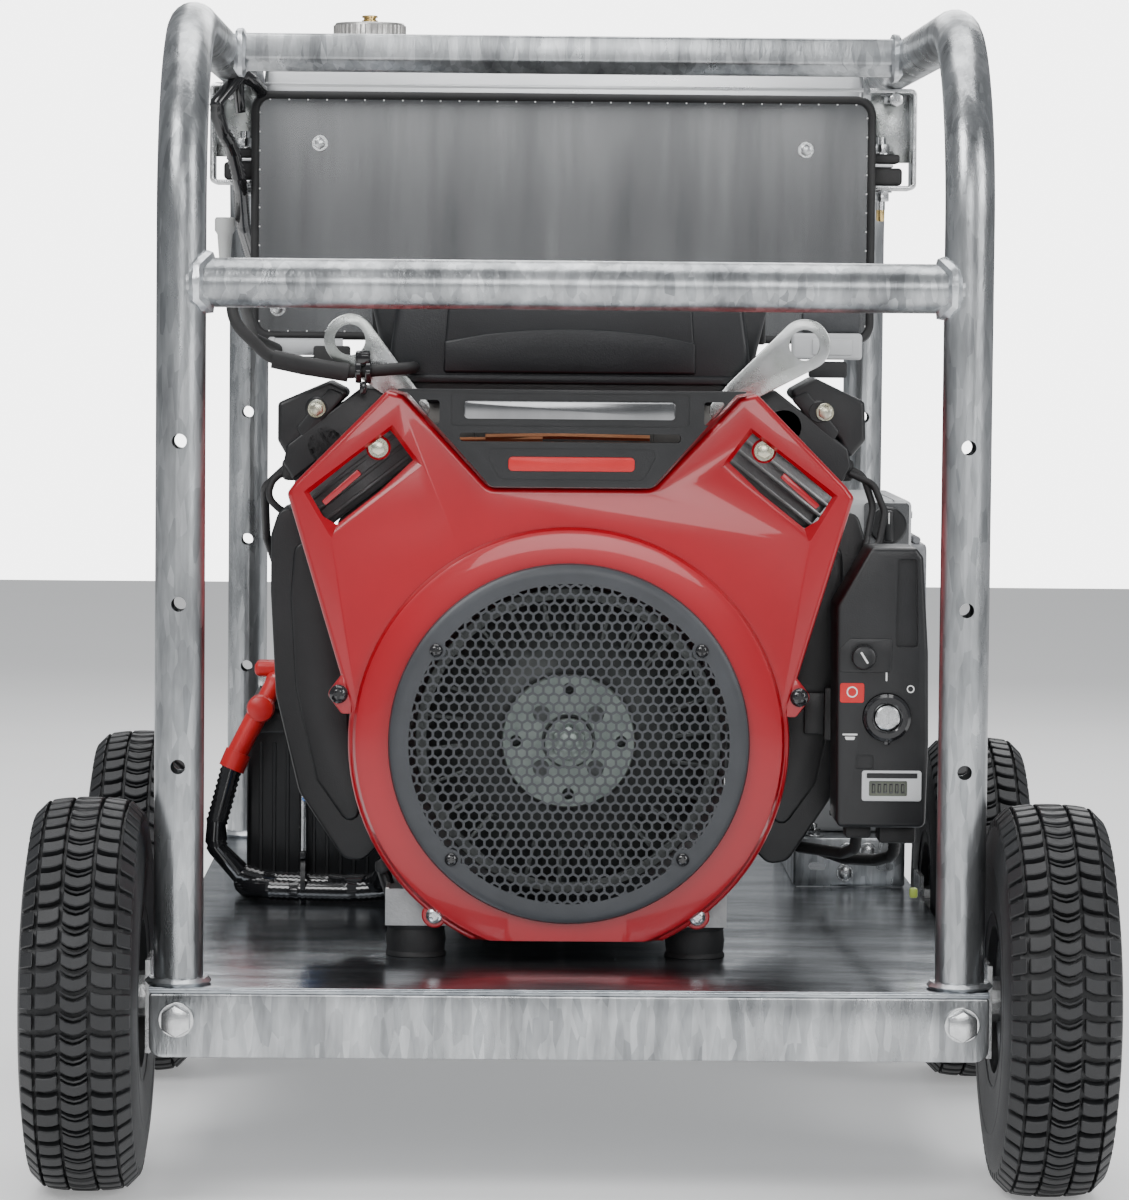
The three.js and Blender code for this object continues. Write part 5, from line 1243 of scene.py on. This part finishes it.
# ---------------------------------------------------------------- battery and outlet box
def make_battery():
    x0, x1, y0, y1, low = -245, -127, 515, 712, DECK + 0.3
    body = block(x0 + 1, x1 - 1, y0 + 1, y1 - 1, low, low + 143, 4, 3)
    ribs = [row_copies(block(x0 + 10, x0 + 13, near, far, low + 8, low + 118, 0.5, 1), 10, (10.4, 0, 0))
            for near, far in ((y0 + 0.2, y0 + 2), (y1 - 2, y1 - 0.2))]
    ribs += [row_copies(block(near, far, y0 + 12, y0 + 15, low + 8, low + 118, 0.5, 1), 14, (0, 12.8, 0))
             for near, far in ((x0 + 0.2, x0 + 2), (x1 - 2, x1 - 0.2))]
    lip = block(x0 + 0.2, x1 - 0.2, y0 + 0.2, y1 - 0.2, low + 124, low + 143, 3, 3)
    lid = block(x0 + 4, x1 - 4, y0 + 4, y1 - 4, low + 140, low + 154.6, 4, 3)
    caps = row_copies(disc(9, low + 154, 1.6, (x0 + 40, y0 + 40, 0), "Z", 0.6, 24), 6, (0, 25, 0))
    strap = block(x0 + 30, x1 - 4, y0 + 88, y0 + 108, low + 154.8, low + 159, 1.5)
    made(joined(body, *ribs, lip, lid, caps), "battery_case", satin_black, ["battery"])
    rods = [tube([(-200, 510, 300), (-200, 509, 165), (-200, 509, 149)], 3, 6, 16),
            hex_bolt((-200, 509, DECK + 0.3), "Z", 1, 12, 7, 8, 1.6),
            tube([(-200, 510, 299), (-200, 520, 303.5), (-200, 700, 303.5), (-200, 717, 300),
                  (-200, 717.5, 149)], 3, 10, 16),
            hex_bolt((-200, 717.5, DECK + 0.3), "Z", 1, 12, 7, 8, 1.6), strap]
    made(joined(*rods), "battery_clamp", zinc_bolt)
    post = spun([(0, 0), (11, 0), (11, 4), (8.8, 5), (8, 22), (7, 23), (0, 23)], (-224, 550, low + 154), "Z",
                32)
    clamp = joined(block(-237, -213, 538, 562, low + 158, low + 170, 3, 3),
                   hex_bolt((-213, 550, low + 164), "X", 1, 9, 5, 6, 1))
    made(joined(post, clamp), "battery_post", zinc_bolt)
    cover = block(-240, -210, 534, 566, low + 168, low + 179.5, 4, 4)
    boot_cap = spun([(0, 484.4), (6, 484.8), (9.6, 486.6), (10.8, 490), (10.8, 500), (8, 505), (0, 506)],
                    (-233, 0, 291), "Y", 36)
    sleeve = tube([(-233, 496, 291), (-243, 494, 272), (-254, 492, 250)], 8.2, 16, 24)
    flare = tube([(-250, 492.6, 257), (-255.5, 491.6, 244)], 10.2, 4, 24)
    arm = tube([(-224, 545, 310.8), (-224, 508, 308), (-231, 497, 294)], 7.2, 14, 20)
    made(joined(cover, boot_cap, sleeve, flare, arm), "terminal_boot", red_plastic)
    conduit = tube([(-254.5, 492, 248), (-268, 484, 196), (-262, 480, 168), (-225, 476, 158),
                    (-170, 470, 157), (-138, 446, 160), (-134, 410, 172), (-127, 400, 203),
                    (-113.4, 400, 203)], 8.7, 22, 20, steps=12, ribs=2.2, rib_deep=0.86)
    lower = tube([(-240, 560, 154), (-246, 500, 154), (-240, 462, 154), (-205, 455, 153.8),
                  (-160, 450, 153.8), (-118, 440, 158), (-100, 420, 170)], 8.2, 20, 20, steps=12, ribs=2.2,
                 rib_deep=0.86)
    made(joined(conduit, lower), "battery_conduits", gloss_black, ["battery_conduit"])
    tie = joined(spun([(17.5, -1.8), (19.2, -1.8), (19.2, 1.8), (17.5, 1.8)], (-198, 465, 160), "X", 32),
                 block(-200.5, -195.5, 455, 461, 178, 184, 1))
    made(tie, "cable_tie", satin_black)


SOCKET = (0, 712, 372)
LOWER_SOCKET = (0, 712, 262)
HINGE = (291.3, 0, 417.6)


def make_outlet():
    x0, x1, y0, y1, z0, z1 = 190, 283, 622, 850, 184.1, 452.1
    box = block(x0 + 0.2, x1 - 0.6, y0 + 0.4, y1 - 0.4, z0 + 0.2, z1 - 0.2, 5, 4)
    groove = block(x1 - 16, x1 - 14.4, y0 - 5, y1 + 5, z0 - 5, z1 + 5, 0)
    core = block(x1 - 20, x1 - 10, y0 + 2, y1 - 2, z0 + 2, z1 - 2, 0)
    box = combine(box, combine(groove, core))
    well = disc(24, x1 - 30, 40, SOCKET, "X", 0.1, 48)
    box = combine(box, well)
    second = disc(21, x1 - 14, 30, LOWER_SOCKET, "X", 0.1, 48)
    box = combine(box, second)
    window = block(x1 - 6, x1 + 5, 772, 828, 330, 420, 0)
    box = combine(box, window)
    made(smooth(box, 35), "outlet_box_case", light_plastic, ["socket_box"])
    ring = spun([(24, x1 - 1.2), (29.5, x1 - 1.2), (29.5, x1 - 0.2), (24, x1 - 0.2)], SOCKET, "X", 48)
    lower_ring = spun([(18.5, x1 - 12), (18.5, x1 - 0.2), (26, x1 - 0.2), (26, x1 - 2), (20.6, x1 - 2),
                       (20.6, x1 - 12)], LOWER_SOCKET, "X", 48)
    pins = [disc(2.6, x1 - 29, 17, (0, SOCKET[1] + 9.5 * math.cos(t), SOCKET[2] + 9.5 * math.sin(t)), "X",
                 0.8, 16) for t in (math.pi / 2, math.pi * 7 / 6, math.pi * 11 / 6)]
    floor_disc = disc(23.4, x1 - 29.8, 2, SOCKET, "X", 0.3, 48)
    made(joined(ring, lower_ring, floor_disc), "outlet_rings", satin_black)
    made(joined(*pins), "outlet_pins", brass)
    breakers = [block(x1 - 7, x1 - 1.2, 776 + i * 17, 790 + i * 17, 335, 415, 1.5) for i in range(3)]
    levers = [block(x1 - 2, x1 + 0.2, 780 + i * 17, 786 + i * 17, 368, 384, 0.8) for i in range(3)]
    made(joined(*breakers), "breaker_row", white_plastic)
    made(joined(*levers), "breaker_levers", satin_black)
    screws = [hex_bolt((x1 - 0.6, y, z), "X", 1, 6, 1.2, 0) for y in (634, 838) for z in (196, 440)]
    made(joined(*screws), "outlet_screws", zinc_bolt)
    gland = [disc(11, y0 - 9, 10, (218, 0, 228), "Y", 1.2, 6),
             disc(9, y0 - 15, 8, (218, 0, 228), "Y", 1.5, 28),
             tube([(218, 612, 228), (218, 596, 224), (190, 570, 200), (150, 560, 186), (120, 600, 200),
                   (100, 640, 230)], 6, 24, 18)]
    made(joined(*gland), "outlet_cable", rubber)

    cover = plate(rectangle(669.2, 754.8, 329.2, 414.8, 8), 283.5, 15.6, "X", 3, 3)
    cover = combine(cover, plate(rectangle(672.4, 751.6, 332.4, 411.6, 6), 278, 18, "X"))
    dome = plate(rectangle(688, 736, 346, 398, 10), 298.2, 1.0, "X", 0.5)
    hinge = [disc(3.2, y, 14, HINGE, "Y", 0.5, 20) for y in (676, 734)]
    lip = block(290, 299, 702, 722, 325.4, 331, 1.5)
    made(smooth(joined(cover, dome, *hinge, lip), 35), "outlet_cover_flap", mid_plastic, ["socket_cover"],
         body="outlet_cover")
    knuckle = [disc(3.2, 692, 40, HINGE, "Y", 0.5, 20), block(282, 292, 694, 730, 416, 421, 1)]
    made(joined(*knuckle), "outlet_hinge", mid_plastic)

    dial = spun([(0, 605), (13.6, 605.2), (15, 606.6), (15, 619), (14, 620.8), (4, 620.9), (4, 634.5),
                 (0, 634.5)], (262, 0, 432), "Y", 40)
    grip = block(258.2, 265.8, 597.2, 607, 419.5, 444.5, 2, 3)
    made(joined(dial, grip), "breaker_dial", satin_black, ["breaker_switch"], body="breaker")
    made(plate(rectangle(261.5, 262.5, 434, 443, 0.3), 596.9, 0.5, "Y"), "breaker_mark", mark_white,
         body="breaker")
    made(plate(rectangle(244, 280, 414, 450, 3), 620.8, 1.4, "Y", 0.3, 1), "breaker_plate", stainless)

    a0, a1, b0, b1, c0, c1 = 188, 277, 582, 850, 144.9, 183.8
    tray = block(a0 + 0.1, a1 - 0.1, b0 + 0.1, b1 - 0.1, c0, c1, 2.2, 3)
    room = block(a0 + 3, a1 - 3, b0 + 3, b1 + 10, c0 - 5, c1 - 3, 0)
    tray = combine(tray, room)
    slots = joined(*[plate(rectangle(x, x + 14, 158, 164, 3), b0 - 5, 20, "Y") for x in (200, 254)])
    tray = combine(tray, slots)
    made(smooth(tray, 35), "outlet_foot", galvanised, ["panel_bracket"])
    bolts = [hex_bolt((229, b0, 156), "Y", -1, 10, 5, 7, 1.4),
             hex_bolt((216, b0, 172), "Y", -1, 8, 4, 6, 1.2),
             hex_bolt((230.4, b0, 174), "Y", -1, 8, 4, 6, 1.2),
             hex_bolt((247, b0, 173), "Y", -1, 10, 5, 7, 1.4),
             hex_bolt((205, 596, c1), "Z", 1, 10, 5, 8, 1.4, 4),
             hex_bolt((262, 596, c1), "Z", 1, 10, 5, 8, 1.4, 4)]
    made(joined(*bolts), "outlet_foot_bolts", zinc_bolt)


# ---------------------------------------------------------------- tank, shield and brackets
def make_tank():
    y0, y1 = 606, 880
    shell = plate(rectangle(-238, 238, 600, 806, 22, 8), y0, y1 - y0, "Y", 3.5, 3)
    seam = plate(rectangle(-238.0, 238.0, 777, 780, 0.5), y0 - 0.2, 2.5, "Y", 0.4)
    ear = block(-263, 263, y0 + 6, y0 + 32, 717.6, 720.6, 0.8)
    ear_hole = joined(*[disc(5, 700, 40, (s * 254, y0 + 19, 0), "Z", 0.1, 20) for s in (-1, 1)])
    ear = combine(ear, ear_hole)
    ribs = [block(x, x + 1.2, y0 + 40, y1 - 40, z, z + 8, 0.4, 1) for x in (-238.2, 237) for z in (650, 740)]
    made(joined(shell, seam, ear, *ribs), "tank_shell", tank_steel, ["fuel_tank"])
    neck_x, neck_y = -157, 700
    neck = spun([(20, 0), (34, 0), (34, 2.2), (32.6, 3.2), (25, 3.2), (24, 4.4), (24, 18.6), (23, 19.7),
                 (20, 19.7)], (neck_x, neck_y, 806.3), "Z", 48)
    made(neck, "tank_neck", tank_steel, ["filler_neck"])
    gasket = spun([(20.2, 0.1), (25.8, 0.1), (25.8, 2.8), (20.2, 2.8)], (neck_x, neck_y, 826.3), "Z", 48)
    made(gasket, "cap_seal_ring", rubber, ["cap_gasket"], body="cap_seal")
    base = 829.6
    cap = spun([(0, base), (26.4, base), (26.4, base - 14.8), (28.2, base - 15), (28.6, base - 13),
                (28.6, base + 1.4), (27.4, base + 3.2), (8, base + 3.2), (7, base + 3.2), (0, base + 3.2)],
               (neck_x, neck_y, 0), "Z", 64)
    flute = tube([(neck_x + 28.4, neck_y, base - 14), (neck_x + 28.4, neck_y, base + 1.2)], 1.1, 1, 8)
    flutes = ring_copies(flute, 42, (neck_x, neck_y, 0), "Z")
    made(joined(cap, flutes), "fuel_cap_fluted", silver_cast, ["fuel_cap"], body="cap")
    vent = spun([(0, base + 3), (6.5, base + 3), (6.5, base + 5.5), (5, base + 6), (5, base + 7.4),
                 (6.4, base + 7.8), (6.4, base + 9.2), (5.4, base + 9.7), (0, base + 9.7)],
                (neck_x, neck_y, 0), "Z", 32)
    made(vent, "fuel_cap_vent", brass, body="cap")
    sender = joined(spun([(0, 806), (20, 806), (20, 809), (12, 810), (11, 816), (0, 816.5)], (-205, 690, 0),
                         "Z", 32), *[hex_bolt((-205 + 16 * math.cos(t), 690 + 16 * math.sin(t), 809), "Z", 1,
                                              5, 2.4, 0) for t in (0.3, 1.6, 2.8, 4.1, 5.3)])
    made(sender, "level_sender", satin_black)

    sheet = plate(rectangle(-247.2, 247.2, 577.1, 772.9, 12, 6), 600.1, 1.8, "Y", 0.4, 1)
    made(sheet, "heat_shield_sheet", stainless, ["heat_shield"])
    loop = [(x, 600.6, z) for x, z in rectangle(-244.6, 244.6, 579.8, 770.2, 13, 10)]
    trim = tube(loop, 3.4, closed=True, sides=16)
    made(trim, "shield_trim", rubber)
    dots = []
    for i in range(32):
        x = -233 + i * 15
        dots.append((x, 766.6))
        dots.append((x, 583.4))
    for i in range(12):
        z = 591 + i * 15
        dots.append((-241, z))
        dots.append((241, z))
    bits = [block(x - 0.6, x + 0.6, 599.4, 600.4, z - 0.6, z + 0.6, 0) for x, z in dots]
    made(joined(*bits), "shield_trim_pips", mark_white)
    screws = [hex_bolt((x, 600, z), "Y", -1, 8, 4, 6.5, 1.2)
              for x, z in ((-193.4, 732.3), (192.3, 730.5), (205.1, 597.4), (-226, 601.3))]
    made(joined(*screws), "shield_screws", zinc_bolt)
    rails = [tube([(-230, 589, 571), (-174, 589, 571)], 6.8, 1, 28),
             disc(7.6, -233, 6, (0, 589, 571), "X", 1.2, 28), block(182, 238, 584, 598, 564.4, 585.4, 3, 3),
             block(198, 230, 582, 586, 568, 581, 1.5)]
    made(joined(*rails), "drip_rail", light_plastic)
    step = block(191, 236, 592, 598.5, 586, 602, 1.5)
    made(step, "drip_rail_step", dark_cast, slot="grey_plastic")
    under = joined(tube([(-206, 583, 561.6), (-172, 583, 561.6)], 2, 1, 12),
                   block(-197, -168, 580, 600, 549, 572, 2), block(196, 226, 584, 598, 550, 563, 2))
    made(under, "drip_rail_seal", rubber)


def make_brackets():
    low, high = 699.5, 780
    for side, sign in SIDES:
        near, far, t = 243, 281, 3.5
        section = [(near, low), (far, low), (far, high), (near, high), (near, high - t), (far - t, high - t),
                   (far - t, low + t), (near, low + t)]
        section = rounded_outline(sided(section, sign), [0.5, 5, 5, 0.5, 0.5, 2, 2, 0.5], 4)
        plate_piece = plate(section, 606, 38, "Y", 0.7)
        made(plate_piece, f"{side}_bracket_sheet", zinc_bolt, [f"{side}_tank_bracket"])
        rubbers = [block(*sorted((sign * 245, sign * 270)), 608, 640, 703.2, 717.2, 3, 3),
                   block(*sorted((sign * 245, sign * 268)), 610, 638, 720.8, 728, 2, 3)]
        made(joined(*rubbers), f"{side}_bracket_rubbers", rubber)
        stud_x = sign * 254
        studs = [tube([(stud_x, 625, 684), (stud_x, 625, 742)], 3.8, 1, 16),
                 hex_bolt((stud_x, 625, 728), "Z", 1, 13, 7, 9, 1.6),
                 hex_bolt((stud_x, 625, 699.4), "Z", -1, 13, 7, 9, 1.6),
                 hex_bolt((sign * 264, 606, 771), "Y", -1, 10, 4.6, 0),
                 hex_bolt((sign * 262, 625, 779.8 - 3.6), "Z", -1, 13, 6, 9, 1.5)]
        made(joined(*studs), f"{side}_bracket_studs", zinc_bolt)
        face = block(*sorted((sign * 246.5, sign * 277.3)), 637, 640, 722, 776.3, 0.6)
        made(face, f"{side}_bracket_web", eye_zinc)
        tip = spun([(0, 0), (2.6, 0), (3.4, 1.5), (3.4, 9), (0, 9)], (stud_x, 625, 675), "Z", 18)
        made(tip, f"{side}_stud_tip", brass)
    loops = [tube([(-214, 676, 812), (-236, 640, 812), (-245, 600, 800), (-252, 575, 790), (-262, 566, 782),
                   (-268, 566, 768), (-262, 570, 756), (-252, 574, 760)], 6, 16, 16, steps=10, ribs=2.1,
                  rib_deep=0.86), tube([(-240, 598, 772), (-248, 574, 782), (-262, 560, 786),
                                        (-273, 556, 772), (-272, 560, 745), (-262, 574, 728),
                                        (-256, 590, 700), (-256, 640, 668), (-250, 700, 640)], 6.2, 18, 16,
                                       steps=10, ribs=2.1, rib_deep=0.86)]
    made(joined(*loops), "sender_conduits", gloss_black)
    funnel = spun([(0, 0), (3, 0), (4.4, 2), (6.2, 24), (8.2, 27), (8.2, 36), (7, 37.5), (0, 37.5)],
                  (-270, 630, 636), "Z", 28)
    made(funnel, "drain_funnel", white_plastic)


for step in (make_hoops, make_rails, make_deck, make_wheels, make_shroud, make_grille, make_fan,
             make_name_panel, make_air_cleaner, make_cylinders, make_coil_covers, make_lifting_eyes,
             make_side_shrouds, make_controls, make_engine_details, make_exhaust, make_alternator,
             make_battery, make_outlet, make_tank, make_brackets):
    step()

# ---------------------------------------------------------------- floor and end
bpy.ops.object.select_all(action="DESELECT")
bpy.ops.mesh.primitive_plane_add(size=14, location=(0, 0, 0))
floor = bpy.context.active_object
floor.name = "floor"
pale = finish("floor", None, (0.86, 0.86, 0.86), 0.6, 0.0, (0.9, 0.9, 0.9), 3, 0.5, 0.02, 200)
pale.node_tree.nodes["Principled BSDF"].inputs["Emission Color"].default_value = (1, 1, 1, 1)
pale.node_tree.nodes["Principled BSDF"].inputs["Emission Strength"].default_value = 0.3
floor.data.materials.append(pale)

plain = {"galvanised_steel": galvanised, "bright_steel": zinc_bolt, "cast_aluminium": cast,
         "red_enamel": red, "black_plastic": satin_black, "dark_aluminium": dark_cast,
         "dark_steel": dark_steel, "machined_steel": machined, "blue_enamel": blue, "black_rubber": rubber,
         "grey_plastic": light_plastic, "stainless_sheet": stainless, "tyre_rubber": tyre_rubber}
for entry in frame["record"]["subparts"]:
    shown = frame["nodes"][entry["node"]]
    if not shown.hide_render:
        shown.data.materials.clear()
        shown.data.materials.append(plain[entry["material_slot"]])
